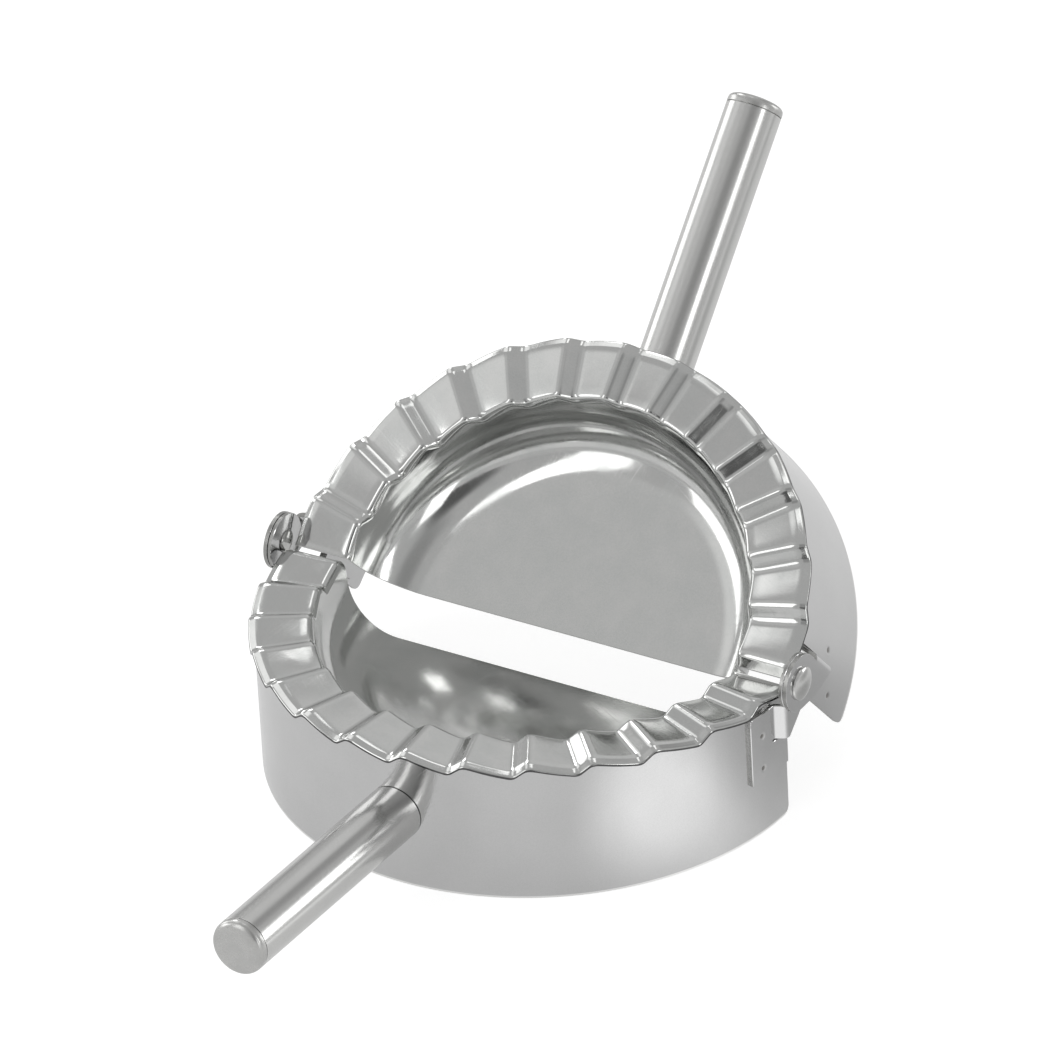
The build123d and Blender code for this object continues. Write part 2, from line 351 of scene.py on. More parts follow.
class Effect:
    """A shader node group with named sockets, built once and placed in many materials."""

    name: ClassVar[str]
    sizes: ClassVar[dict[str, float]]

    @classmethod
    def tree(cls) -> bpy.types.NodeTree:
        """The group itself, which the first call builds.

        Returns:
            The group's tree.
        """
        found = bpy.data.node_groups.get(cls.name)
        if found:
            return found
        tree = bpy.data.node_groups.new(cls.name, "ShaderNodeTree")
        tree.interface.new_socket("Place", in_out="INPUT", socket_type="NodeSocketVector")
        for label, value in cls.sizes.items():
            socket = tree.interface.new_socket(label, in_out="INPUT", socket_type="NodeSocketFloat")
            socket.default_value = value
        tree.interface.new_socket("Mask", in_out="OUTPUT", socket_type="NodeSocketFloat")
        wiring = Wiring(tree)
        source = wiring.add("NodeGroupInput")
        mask = cls.fill(wiring, {socket.name: socket for socket in source.outputs if socket.name})
        wiring.add("NodeGroupOutput", {"Mask": mask})
        return tree

    @classmethod
    def fill(cls, wiring: Wiring, given: dict[str, bpy.types.NodeSocket]) -> bpy.types.NodeSocket:
        """Adds the group's own nodes.

        Args:
            wiring: The group's tree.
            given: The group's inputs by name.

        Returns:
            The value that the group puts out.
        """
        raise NotImplementedError

    @classmethod
    def place(cls, wiring: Wiring, place: object, **sizes: float) -> bpy.types.NodeSocket:
        """Places the group in a material.

        Args:
            wiring: The material's tree.
            place: The place on the surface, in metres.
            **sizes: Values for the group's inputs.

        Returns:
            The group's mask, 0 to 1.
        """
        node = wiring.add("ShaderNodeGroup", node_tree=cls.tree())
        wiring.feed(node.inputs["Place"], place)
        for label, value in sizes.items():
            wiring.feed(node.inputs[label], value)
        return node.outputs["Mask"]


class RoundGrain(Effect):
    """Fine streaks that run round the z axis, as a polishing belt leaves them."""

    name = "grain_round_axis"
    sizes = {"Streak": 8 * MM, "Spacing": 0.25 * MM}

    @classmethod
    def fill(cls, wiring: Wiring, given: dict[str, bpy.types.NodeSocket]) -> bpy.types.NodeSocket:
        """Noise over the angle, the radius and the height.

        Args:
            wiring: The group's tree.
            given: The group's inputs by name.

        Returns:
            The level of the streaks.
        """
        x, y, z = wiring.split(given["Place"])
        radius = wiring.radius(x, y)
        arc = wiring.math("MULTIPLY", wiring.math("ARCTAN2", y, x), radius)
        where = wiring.join(
            wiring.math("DIVIDE", arc, given["Streak"]),
            wiring.math("DIVIDE", radius, given["Spacing"]),
            wiring.math("DIVIDE", z, given["Spacing"]),
        )
        return wiring.noise(where, detail=3, roughness=0.6)


class SoftPatches(Effect):
    """Broad, soft patches: handling, rinse marks and the slow waves of pressed sheet."""

    name = "soft_patches"
    sizes = {"Size": 12 * MM, "Contrast": 0.18}
    middle: ClassVar[float] = 0.5

    @classmethod
    def fill(cls, wiring: Wiring, given: dict[str, bpy.types.NodeSocket]) -> bpy.types.NodeSocket:
        """Noise whose middle levels are spread out.

        Args:
            wiring: The group's tree.
            given: The group's inputs by name.

        Returns:
            The level of the patches.
        """
        level = wiring.noise(wiring.scaled(given["Place"], given["Size"]), detail=2.5, roughness=0.55)
        low = wiring.math("SUBTRACT", cls.middle, given["Contrast"])
        high = wiring.math("ADD", cls.middle, given["Contrast"])
        node = wiring.add("ShaderNodeMapRange", {"Value": level, "From Min": low, "From Max": high})
        return node.outputs["Result"]


class Speckle(Effect):
    """A fine, even speckle, as blasted or tumbled steel has."""

    name = "speckle"
    sizes = {"Size": 0.3 * MM}
    low: ClassVar[float] = 0.3
    high: ClassVar[float] = 0.7

    @classmethod
    def fill(cls, wiring: Wiring, given: dict[str, bpy.types.NodeSocket]) -> bpy.types.NodeSocket:
        """Small noise without direction.

        Args:
            wiring: The group's tree.
            given: The group's inputs by name.

        Returns:
            The level of the speckle.
        """
        level = wiring.noise(wiring.scaled(given["Place"], given["Size"]), detail=1)
        return wiring.remap(level, cls.low, cls.high)


class Scratches(Effect):
    """Sparse hairlines in two directions."""

    name = "hairline_scratches"
    sizes = {"Length": 14 * MM, "Width": 0.16 * MM, "Rarity": 0.7}
    leans: ClassVar[tuple[float, float]] = (0.5, -0.9)
    sharpness: ClassVar[float] = 20.0

    @classmethod
    def fill(cls, wiring: Wiring, given: dict[str, bpy.types.NodeSocket]) -> bpy.types.NodeSocket:
        """Peaks of noise that is drawn out along a turned axis.

        Args:
            wiring: The group's tree.
            given: The group's inputs by name.

        Returns:
            How deep the hairlines are, 0 to 1.
        """
        lines = []
        for lean in cls.leans:
            turn = (lean, lean / 2, lean)
            turned = wiring.add("ShaderNodeMapping", {"Vector": given["Place"], "Rotation": turn})
            x, y, z = wiring.split(turned.outputs[0])
            where = wiring.join(
                wiring.math("DIVIDE", x, given["Length"]),
                wiring.math("DIVIDE", y, given["Width"]),
                wiring.math("DIVIDE", z, given["Length"]),
            )
            above = wiring.math("SUBTRACT", wiring.noise(where, detail=0), given["Rarity"])
            lines.append(wiring.math("MULTIPLY", above, cls.sharpness))
        strongest = wiring.math("MAXIMUM", *lines)
        return wiring.math("MINIMUM", wiring.math("MAXIMUM", strongest, 0.0), 1.0)


class WeldHalo(Effect):
    """The dull spot that a spot weld leaves, alike at both ends of the hinge line."""

    name = "weld_halo"
    sizes = {"X": 0.0, "Y": 0.0, "Z": 0.0, "Radius": 0.9 * MM}
    even_share: ClassVar[float] = 0.35

    @classmethod
    def fill(cls, wiring: Wiring, given: dict[str, bpy.types.NodeSocket]) -> bpy.types.NodeSocket:
        """Falls off with the distance to the weld, outside its even middle.

        Args:
            wiring: The group's tree.
            given: The group's inputs by name.

        Returns:
            How dull the surface is, 0 to 1.
        """
        x, y, z = wiring.split(given["Place"])
        mirrored = wiring.join(wiring.math("ABSOLUTE", x), wiring.math("ABSOLUTE", y), z)
        centre = wiring.join(given["X"], given["Y"], given["Z"])
        share = wiring.math("DIVIDE", wiring.compare("DISTANCE", mirrored, centre), given["Radius"])
        return wiring.remap(share, cls.even_share, 1.0, 1.0, 0.0)


class PaintedEdgeBand(Effect):
    """The mask of a painted band at a sheet's border, for painted highlight and painted shade: beyond a
    radius, or below a height.
    """

    name = "painted_edge_band"
    sizes = {"Radius": 1.0, "Height": -1.0}
    soft: ClassVar[float] = 0.03 * MM

    @classmethod
    def fill(cls, wiring: Wiring, given: dict[str, bpy.types.NodeSocket]) -> bpy.types.NodeSocket:
        """Compares the radius and the height with the band's.

        Args:
            wiring: The group's tree.
            given: The group's inputs by name.

        Returns:
            1 in the band and 0 elsewhere, with a soft border.
        """
        x, y, z = wiring.split(given["Place"])
        beyond = wiring.math("SUBTRACT", wiring.radius(x, y), given["Radius"])
        below = wiring.math("SUBTRACT", given["Height"], z)
        masks = [wiring.remap(depth, -cls.soft, cls.soft) for depth in (beyond, below)]
        return wiring.math("MAXIMUM", *masks)


# Finishes

@dataclass(frozen=True)
class SteelFinish:
    """A finish of stainless steel. Colours are linear, and heights are of the bumps.

    The painted band puts painted light at a sheet's border: a painted highlight on the skirt's cutting edge
    and painted shade at the rim's outer edge. The band's radius and height are out of reach unless a finish
    gives one of them.
    """

    name: str
    light: Colour
    dark: Colour
    roughness: float
    roughness_swing: float = 0.05
    patch_size: float = 12 * MM
    wave_height: float = 0.0
    streak: float = 8 * MM
    streak_spacing: float = 0.25 * MM
    streak_height: float = 0.0
    speckle_size: float = 0.3 * MM
    speckle_height: float = 0.0
    scratch_height: float = 0.0
    welds: tuple[tuple[float, float, float], ...] = ()
    weld_tint: Colour = (0.17, 0.16, 0.14)
    weld_share: float = 0.75
    painted_band_radius: float = 1.0
    painted_band_height: float = -1.0
    painted_band_tint: Colour | None = None

    # What the patches and the speckle weigh in the tone, and the patches and the scratches in the gloss
    tone_weights: ClassVar[tuple[float, float]] = (0.6, 0.4)
    gloss_weights: ClassVar[tuple[float, float]] = (0.7, 0.3)

    def welded(self, name: str, welds: Sequence[Vector]) -> "SteelFinish":
        """This finish with the marks of spot welds.

        Args:
            name: The new finish's name.
            welds: The welds at the right end of the front half's drawing.

        Returns:
            The finish, or this one if there are no welds.
        """
        if not welds:
            return self
        return replace(self, name=name, welds=tuple((weld.x, -weld.y, weld.z) for weld in welds))

    def material(self, grain: GrainFrame) -> bpy.types.Material:
        """This finish in a grain frame, made the first time it is asked for.

        Args:
            grain: The frame that the grain follows.

        Returns:
            The material.
        """
        name = f"{self.name}_{grain.name}"
        found = bpy.data.materials.get(name)
        if found:
            return found
        material = bpy.data.materials.new(name)
        material.use_nodes = True
        wiring = Wiring(material.node_tree)
        shader = material.node_tree.nodes["Principled BSDF"]
        shader.inputs["Metallic"].default_value = 1.0
        place = self.place(wiring, grain)
        patches = SoftPatches.place(wiring, place, Size=self.patch_size)
        speckle = Speckle.place(wiring, place, Size=self.speckle_size)
        scratches = Scratches.place(wiring, place)
        tone = wiring.weighed_sum(zip((patches, speckle), self.tone_weights))
        colour = wiring.blend(tone, self.light, self.dark)
        for x, y, z in self.welds:
            halo = WeldHalo.place(wiring, place, X=x, Y=y, Z=z)
            colour = wiring.blend(wiring.math("MULTIPLY", halo, self.weld_share), colour, self.weld_tint)
        # Painted light in the colour: the border band gets a light tint as a painted highlight, or a dark
        # tint as painted shade.
        if self.painted_band_tint:
            painted_band = PaintedEdgeBand.place(wiring, place, Radius=self.painted_band_radius, Height=self.painted_band_height)
            colour = wiring.blend(painted_band, colour, self.painted_band_tint)
        wiring.feed(shader.inputs["Base Color"], colour)
        low = self.roughness - self.roughness_swing
        high = self.roughness + self.roughness_swing
        gloss = wiring.weighed_sum(zip((patches, scratches), self.gloss_weights))
        wiring.feed(shader.inputs["Roughness"], wiring.remap(gloss, 0.0, 1.0, low, high))
        wiring.feed(shader.inputs["Normal"], self.bumps(wiring, place, patches, speckle, scratches))
        return material

    def place(self, wiring: Wiring, grain: GrainFrame) -> bpy.types.NodeSocket:
        """The place on the surface, in the grain's frame.

        Args:
            wiring: The material's tree.
            grain: The frame that the grain follows.

        Returns:
            The place, in metres.
        """
        coordinates = wiring.add("ShaderNodeTexCoord")
        inverse = grain.to_world.inverted()
        mapping = wiring.add("ShaderNodeMapping", {
            "Vector": coordinates.outputs["Object"],
            "Location": inverse.to_translation(),
            "Rotation": inverse.to_euler("XYZ"),
        })
        return mapping.outputs[0]

    def bumps(
        self,
        wiring: Wiring,
        place: bpy.types.NodeSocket,
        patches: bpy.types.NodeSocket,
        speckle: bpy.types.NodeSocket,
        scratches: bpy.types.NodeSocket,
    ) -> bpy.types.NodeSocket:
        """Adds up the relief of the surface.

        Args:
            wiring: The material's tree.
            place: The place on the surface.
            patches: The soft patches, whose waves the relief holds.
            speckle: The speckle.
            scratches: The hairlines, which go inwards.

        Returns:
            The bumped normal.
        """
        streaks = RoundGrain.place(wiring, place, Streak=self.streak, Spacing=self.streak_spacing)
        layers = (
            (patches, self.wave_height / MM),
            (streaks, self.streak_height / MM),
            (speckle, self.speckle_height / MM),
            (scratches, -self.scratch_height / MM),
        )
        relief = wiring.weighed_sum(layers)
        return wiring.add("ShaderNodeBump", {"Height": relief, "Distance": MM}).outputs["Normal"]


# Meshes

class Solid:
    """A closed mesh that is gathered face by face. Points that fall together become one."""

    tidy_distance: ClassVar[float] = 0.0005 * MM

    def __init__(self) -> None:
        """Starts with no points and no faces."""
        self.points: list[Vector] = []
        self.faces: list[tuple[int, ...]] = []
        self.surfaces: list[int] = []

    def point(self, place: Vector) -> int:
        """Adds a point and returns its number."""
        self.points.append(place)
        return len(self.points) - 1

    def face(self, corners: Sequence[int], surface: Surface = Surface.FACE) -> None:
        """Adds a face, unless its corners are too few.

        Args:
            corners: The numbers of its points, in order.
            surface: Which of the piece's materials it gets.
        """
        distinct = tuple(dict.fromkeys(corners))
        if len(distinct) > 2:
            self.faces.append(distinct)
            self.surfaces.append(surface.value)

    def lathe(self, profile: Sequence[tuple[float, float]], frame: Matrix, sides: int) -> None:
        """Turns a profile round the frame's z axis.

        Args:
            profile: Points by height and radius, in order. A radius of 0 closes the solid.
            frame: The frame that the heights are measured in.
            sides: How many steps the turn has.
        """
        rings = []
        for height, radius in profile:
            if radius == 0:
                rings.append([self.point(frame @ Vector((0, 0, height)))] * sides)
            else:
                rings.append([self.point(frame @ place) for place in round_ring(radius, height, sides)])
        self.rings(rings)

    def rings(self, rings: Sequence[Sequence[int]], closed: bool = False) -> None:
        """Joins neighbouring rings of points by faces.

        Args:
            rings: The rings, each as long as the others.
            closed: Whether the last ring joins the first.
        """
        following = [*rings[1:], rings[0]] if closed else rings[1:]
        for lower, upper in zip(rings, following):
            for side, (a, b) in enumerate(zip(lower, upper)):
                after = (side + 1) % len(lower)
                self.face((a, lower[after], upper[after], b))

    def mesh(self, name: str, place: Matrix, sharp_angle: float) -> bpy.types.Mesh:
        """Writes the mesh, smooth except at its sharp edges.

        Args:
            name: The mesh's name.
            place: The matrix that the points go through.
            sharp_angle: Edges that turn more than this stay sharp.

        Returns:
            The mesh.
        """
        mesh = bpy.data.meshes.new(name)
        mesh.from_pydata([place @ point for point in self.points], [], self.faces)
        mesh.polygons.foreach_set("material_index", self.surfaces)
        work = bmesh.new()
        work.from_mesh(mesh)
        bmesh.ops.remove_doubles(work, verts=work.verts, dist=self.tidy_distance)
        bmesh.ops.recalc_face_normals(work, faces=work.faces)
        work.to_mesh(mesh)
        work.free()
        mesh.shade_smooth()
        mesh.set_sharp_from_angle(angle=sharp_angle)
        return mesh


class Sheet:
    """Sheet metal: points in pairs, one on its good face and one on its back, closed at the cut edges."""

    grid: ClassVar[float] = 0.0001 * MM

    def __init__(self) -> None:
        """Starts with no pairs and no faces."""
        self.pairs: list[PointPair] = []
        self.faces: list[tuple[int, ...]] = []
        self._known: dict[tuple[int, ...], int] = {}

    def pair(self, good: Vector, back: Vector) -> int:
        """Adds a pair of points, unless it was there before.

        Args:
            good: The point on the good face.
            back: The point on the back.

        Returns:
            The pair's number.
        """
        key = tuple(round(value / self.grid) for value in (*good, *back))
        if key not in self._known:
            self._known[key] = len(self.pairs)
            self.pairs.append((good, back))
        return self._known[key]

    def face(self, corners: Sequence[int]) -> None:
        """Adds a face, unless its corners are too few.

        Args:
            corners: The numbers of its pairs, in order.
        """
        distinct = tuple(dict.fromkeys(corners))
        if len(distinct) > 2:
            self.faces.append(distinct)

    def net(self, columns: Sequence[Sequence[PointPair]], closed: bool = False) -> list[list[int]]:
        """Adds a net of faces.

        Args:
            columns: Columns of pairs, each as long as the others.
            closed: Whether the last column joins the first.

        Returns:
            The numbers of the pairs, column by column.
        """
        numbers = [[self.pair(*pair) for pair in column] for column in columns]
        following = [*numbers[1:], numbers[0]] if closed else numbers[1:]
        for left, right in zip(numbers, following):
            for a, b, c, d in zip(left, left[1:], right[1:], right):
                self.face((a, b, c, d))
        return numbers

    def solid(self) -> Solid:
        """Closes the sheet at its cut edges.

        Returns:
            A solid with both faces and the cut edges.
        """
        solid = Solid()
        for good, back in self.pairs:
            solid.point(good)
            solid.point(back)
        uses: dict[frozenset[int], int] = {}
        for corners in self.faces:
            for edge in zip(corners, (*corners[1:], corners[0])):
                uses[frozenset(edge)] = uses.get(frozenset(edge), 0) + 1
        for corners in self.faces:
            solid.face([2 * corner for corner in corners])
            solid.face([2 * corner + 1 for corner in reversed(corners)])
            for a, b in zip(corners, (*corners[1:], corners[0])):
                if uses[frozenset((a, b))] == 1:
                    solid.face((2 * b, 2 * a, 2 * a + 1, 2 * b + 1), Surface.CUT_EDGE)
        return solid


@dataclass
class SubAssembly:
    """What every sub-assembly has: its half and the hinge line that places it."""

    half: Half
    hinge: HingeLine

    # Edges that turn more than the first angle stay sharp, and those beyond the second can be rounded
    sharp_angle: ClassVar[float] = math.radians(32)
    rounded_angle: ClassVar[float] = math.radians(50)
    round_segments: ClassVar[int] = 2

    @property
    def grain(self) -> GrainFrame:
        """The half's flat drawing as a frame for its finishes."""
        return GrainFrame(self.half.value, self.hinge.placement(self.half))

    def set_up(
        self,
        solid: Solid,
        name: str,
        materials: Sequence[bpy.types.Material],
        slot: str,
        side: Side = Side.RIGHT,
        cut_edge_round: float = 0.0,
        flat: bool = False,
    ) -> bpy.types.Object:
        """Makes a piece that stands for the CAD node of the same name.

        Args:
            solid: The piece, drawn flat in front of the hinge line.
            name: The piece's name after its half's.
            materials: The piece's materials, in the order of Surface.
            slot: The record's material slot; not used.
            side: The end of the hinge line that it is for.
            cut_edge_round: The width of the rounding on its sharp edges.
            flat: Whether its sharp edges have flat chamfers instead.

        Returns:
            The piece.
        """
        node = f"{self.half.value}_{name}"
        drawn = Matrix.Diagonal((side.facing, self.half.facing, 1, 1))
        mesh = solid.mesh(node, self.hinge.placement(self.half) @ drawn, self.sharp_angle)
        for material in materials:
            mesh.materials.append(material)
        piece = bpy.data.objects.new(f"{node}_visual", mesh)
        bpy.context.scene.collection.objects.link(piece)
        if cut_edge_round:
            bevel = piece.modifiers.new("cut_edge_round", "BEVEL")
            bevel.width = cut_edge_round
            bevel.segments = 1 if flat else self.round_segments
            bevel.limit_method = "ANGLE"
            bevel.angle_limit = self.rounded_angle
            bevel.harden_normals = not flat
            bevel.mark_sharp = flat
            bevel.material = Surface.FACE.value if flat else -1
        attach(piece, self.half.body)
        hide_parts(node)
        LOG.info("%s: %d faces", piece.name, len(mesh.polygons))
        return piece


# Pleated rim

@dataclass(frozen=True)
class Crossing:
    """A line across the rim: beside a ridge and parallel to it, or a share of the ramp further on."""

    ridge: float
    beside: float
    share: float = 0.0
    pitch: float = 0.0

    def angle(self, radius: float) -> float:
        """The line's angle at a radius."""
        foot = math.asin(self.beside / radius)
        return self.ridge + foot + self.share * (self.pitch - foot)


@dataclass(frozen=True)
class Pleats:
    """The pleats of a rim: a ramp rises gently to a rounded ridge, and a steep riser falls to its foot."""

    sign: int
    ridge_angle: float
    count: int = 14
    depth: float = 2.3 * MM
    riser: float = 3.2 * MM
    sag: float = 0.2
    ridge_on_ramp: float = 1.6 * MM
    ridge_on_riser: float = 0.9 * MM
    foot_on_riser: float = 0.7 * MM
    foot_on_ramp: float = 1.1 * MM
    end_gap: float = 0.5 * MM

    # Where mesh lines run: millimetres beside a ridge, and shares of the ramp that follows its foot
    lines_beside: ClassVar[tuple[float, ...]] = (
        -1.6, -1.2, -0.8, -0.4, 0.0, 0.3, 0.6, 0.9, 1.6, 2.3, 2.6, 2.9, 3.2, 3.5, 3.9, 4.3
    )
    ramp_shares: ClassVar[tuple[float, ...]] = (0.3, 0.45, 0.6)

    @property
    def pitch(self) -> float:
        """The angle from one ridge to the next."""
        return math.pi / self.count

    @classmethod
    def of_half(cls, half: Half) -> "Pleats":
        """The pleats of a half. The rear ones turn over onto the front ones and trail them a little.

        Args:
            half: The half.

        Returns:
            Its pleats.
        """
        if half is Half.FRONT:
            return cls(sign=1, ridge_angle=math.radians(87.1))
        return cls(sign=-1, ridge_angle=math.radians(89.5))

    @staticmethod
    def bend(along: float, before: float, after: float, slope_before: float, slope_after: float) -> float:
        """The height of a rounded corner, measured from where its two slopes meet.

        Args:
            along: The distance past the corner.
            before: Where the rounding starts, before the corner.
            after: Where the rounding ends, past the corner.
            slope_before: How the surface falls from the corner backwards.
            slope_after: How the surface falls from the corner onwards.

        Returns:
            The height below or above the corner.
        """
        spread = after - before
        inside = max(before * before + spread * (before + along), 0.0)
        share = (math.sqrt(inside) - before) / spread
        return -((1 - share) ** 2 * before * slope_before + share**2 * after * slope_after)

    def height(self, angle: float, radius: float) -> float:
        """The height of the pleats above the rim's middle level.

        Args:
            angle: The angle from +x towards the front.
            radius: The distance from the mould's axis.

        Returns:
            The height, with the sign of this half's pleats.
        """
        start = self.ridge_angle + math.floor((angle - self.ridge_angle) / self.pitch) * self.pitch
        end = start + self.pitch
        foot = start + math.asin(self.riser / radius)
        past = radius * math.sin(angle - start)
        short = radius * math.sin(angle - end)
        run = (end - foot) * radius
        fall = self.depth / self.riser
        crest = self.depth / 2
        into_ridge = self.depth * (1 + self.sag) / run
        out_of_foot = self.depth * (1 - self.sag) / run
        if past < self.ridge_on_riser or short > -self.ridge_on_ramp:
            along = past if past < self.ridge_on_riser else short
            rise = crest + self.bend(along, self.ridge_on_ramp, self.ridge_on_riser, into_ridge, fall)
        elif abs(past - self.riser) < self.foot_on_riser or 0 < past - self.riser < self.foot_on_ramp:
            turn = self.bend(past - self.riser, self.foot_on_riser, self.foot_on_ramp, fall, out_of_foot)
            rise = -crest - turn
        elif past < self.riser:
            rise = crest - past * fall
        else:
            share = (angle - foot) / (end - foot)
            rise = self.depth * ((1 - self.sag) * share + self.sag * share**2) - crest
        return self.sign * rise

    def crossings(self) -> list[Crossing]:
        """The lines that a mesh needs to follow the pleats.

        Returns:
            The lines in order, over more than the half circle.
        """
        lines = []
        for number in range(-self.count // 2 - 1, self.count // 2 + 2):
            ridge = self.ridge_angle + number * self.pitch
            lines += [Crossing(ridge, along * MM) for along in self.lines_beside]
            lines += [Crossing(ridge, self.riser, share, self.pitch) for share in self.ramp_shares]
        return lines

    def clipped(self, crossing: Crossing, radius: float) -> float:
        """A line's angle at a radius, held inside the half's straight edge."""
        edge = math.asin(self.end_gap / 2 / radius)
        return min(max(crossing.angle(radius), edge), math.pi - edge)

    def reaches(self, crossing: Crossing, radii: Sequence[float]) -> bool:
        """Whether a line lies on the half at any of some radii."""
        return any(0 < self.clipped(crossing, r) == crossing.angle(r) for r in radii)


# The straight edges at both ends of the hinge line, as crossings that are always clipped
RIGHT_END = Crossing(-math.pi / 2, 0.0)
LEFT_END = Crossing(1.5 * math.pi, 0.0)

SATIN_STEEL = SteelFinish(
    name="satin_sheet",
    light=(0.64, 0.64, 0.64),
    dark=(0.59, 0.59, 0.59),
    roughness=0.11,
    roughness_swing=0.03,
    patch_size=18 * MM,
    wave_height=0.012 * MM,
    streak_height=0.004 * MM,
    speckle_height=0.003 * MM,
    scratch_height=0.002 * MM,
)
# The skirt's lowest half millimetre is painted light: a painted highlight along the cutting edge.
SKIRT_STEEL = replace(SATIN_STEEL, name="skirt_sheet", painted_band_height=0.5 * MM, painted_band_tint=(0.90, 0.90, 0.89))
POLISHED_STEEL = SteelFinish(
    name="polished_plate",
    light=(0.64, 0.64, 0.63),
    dark=(0.57, 0.58, 0.57),
    roughness=0.13,
    patch_size=7 * MM,
    wave_height=0.006 * MM,
    speckle_height=0.0008 * MM,
    scratch_height=0.001 * MM,
    # Beyond this radius the rim's outer edge is painted almost black: painted shade for the dark line under
    # the rim.
    painted_band_radius=61.13 * MM,
    painted_band_tint=(0.11, 0.11, 0.11),
)
# Darker than the faces, so that the cut edges show as dark outlines.
SHEARED_STEEL = SteelFinish(
    name="sheared_edge",
    light=(0.40, 0.40, 0.39),
    dark=(0.33, 0.33, 0.32),
    roughness=0.3,
    patch_size=2 * MM,
    speckle_size=0.5 * MM,
)


@dataclass
class PressPlate(SubAssembly):
    """The pressed plate: a half bowl, a pleated rim and the rim's turned-down edge."""

    level: float = 32.4 * MM
    rim_radius: float = 61.2 * MM
    rim_width: float = 13.7 * MM
    thickness: float = 1.0 * MM
    depth: float = 16.0 * MM
    corner_radius: float = 12.0 * MM
    draft: float = 1.5 * MM
    mouth_round: float = 1.4 * MM
    band_width: float = 1.2 * MM
    band_drop: float = 0.46 * MM
    edge_round: float = 0.6 * MM
    lip_drop: float = 0.15 * MM
    floor_ring: float = 1.0 * MM
    cut_edge_round: float = 0.15 * MM
    corner_steps: int = 14
    wall_steps: int = 4
    bend_steps: int = 6
    rim_steps: int = 7
    band_steps: int = 4

    @property
    def mouth(self) -> float:
        """The bowl's radius at the rim."""
        return self.rim_radius - self.rim_width

    def section(self, rise_at: Callable[[float], float]) -> list[tuple[float, float, float, float]]:
        """One cross section, from the bowl's floor to the edge of the rim.

        Args:
            rise_at: Gives the pleats' height at a radius.

        Returns:
            Radius and height on the good face, then radius and height on the back.
        """
        floor = self.level - self.depth
        lean = math.atan2(self.draft, self.depth)
        centre = self.mouth - self.draft - self.corner_radius * (1 - math.sin(lean)) / math.cos(lean)
        rows = [(centre - self.floor_ring, floor, centre - self.floor_ring, floor - self.thickness)]
        for turn in steps(0, math.pi / 2 - lean, self.corner_steps):
            out, down = math.sin(turn), math.cos(turn)
            good, back = self.corner_radius, self.corner_radius + self.thickness
            middle = floor + self.corner_radius
            rows.append((
                centre + good * out, middle - good * down,
                centre + back * out, middle - back * down,
            ))
        foot = rows[-1][1]
        brim = self.level + rise_at(self.mouth)
        for share in steps(0, 1, self.wall_steps)[1:]:
            height = foot + share * (brim - self.mouth_round - foot)
            radius = self.mouth - self.draft * max(self.level - height, 0) / self.depth
            tilt = lean * (1 - share)
            back = (radius + self.thickness * math.cos(tilt), height - self.thickness * math.sin(tilt))
            rows.append((radius, height, *back))
        for turn in steps(0, math.pi / 2, self.bend_steps)[1:]:
            inwards, up = math.cos(turn), math.sin(turn)
            centre = self.mouth + self.mouth_round
            back = self.mouth_round - self.thickness
            middle = brim - self.mouth_round
            rows.append((
                centre - self.mouth_round * inwards, middle + self.mouth_round * up,
                centre - back * inwards, middle + back * up,
            ))
        slope = math.atan2(self.band_drop, self.band_width)
        shoulder = self.rim_radius - self.edge_round * (1 - math.sin(slope))
        crease = shoulder - self.band_width
        for radius in steps(self.mouth + self.mouth_round, crease, self.rim_steps)[1:]:
            height = self.level + rise_at(radius)
            rows.append((radius, height, radius, height - self.thickness))
        for radius in steps(crease, shoulder, self.band_steps)[1:]:
            height = self.level + rise_at(radius)
            drop = self.band_drop * (radius - crease) / self.band_width
            rows.append((radius, height - drop, radius, height - self.thickness))
        for turn in steps(slope, math.pi / 2, self.bend_steps)[1:]:
            radius = shoulder + self.edge_round * (math.sin(turn) - math.sin(slope))
            height = self.level + rise_at(radius)
            drop = self.band_drop + self.edge_round * (math.cos(slope) - math.cos(turn))
            rows.append((radius, height - drop, shoulder, height - self.thickness))
        height = self.level + rise_at(self.rim_radius) - self.thickness - self.lip_drop
        rows.append((self.rim_radius, height, shoulder, height))
        return rows

    def columns(self, pleats: Pleats) -> list[list[PointPair]]:
        """The cross sections along the rim.

        Args:
            pleats: The rim's pleats.

        Returns:
            Columns of point pairs, from the right end to the left end.
        """
        inner = [line for line in pleats.crossings() if pleats.reaches(line, (self.mouth, self.rim_radius))]
        columns = []
        for line in (RIGHT_END, *inner, LEFT_END):
            column = []
            for good_radius, good_height, back_radius, back_height in self.section(
                lambda radius: pleats.height(pleats.clipped(line, radius), radius)
            ):
                pair = []
                for radius, height in ((good_radius, good_height), (back_radius, back_height)):
                    held = Crossing(line.angle(max(radius, self.mouth)), 0.0)
                    pair.append(polar(radius, pleats.clipped(held, radius), height))
                column.append(tuple(pair))
            columns.append(column)
        return columns

    def build(self) -> None:
        """Builds the plate and dresses it."""
        sheet = Sheet()
        numbers = sheet.net(self.columns(Pleats.of_half(self.half)))
        sheet.face([column[0] for column in numbers])
        materials = [POLISHED_STEEL.material(self.grain), SHEARED_STEEL.material(self.grain)]
        edge_round = self.cut_edge_round
        self.set_up(sheet.solid(), "press_plate", materials, "polished_plate", cut_edge_round=edge_round)


# Skirt

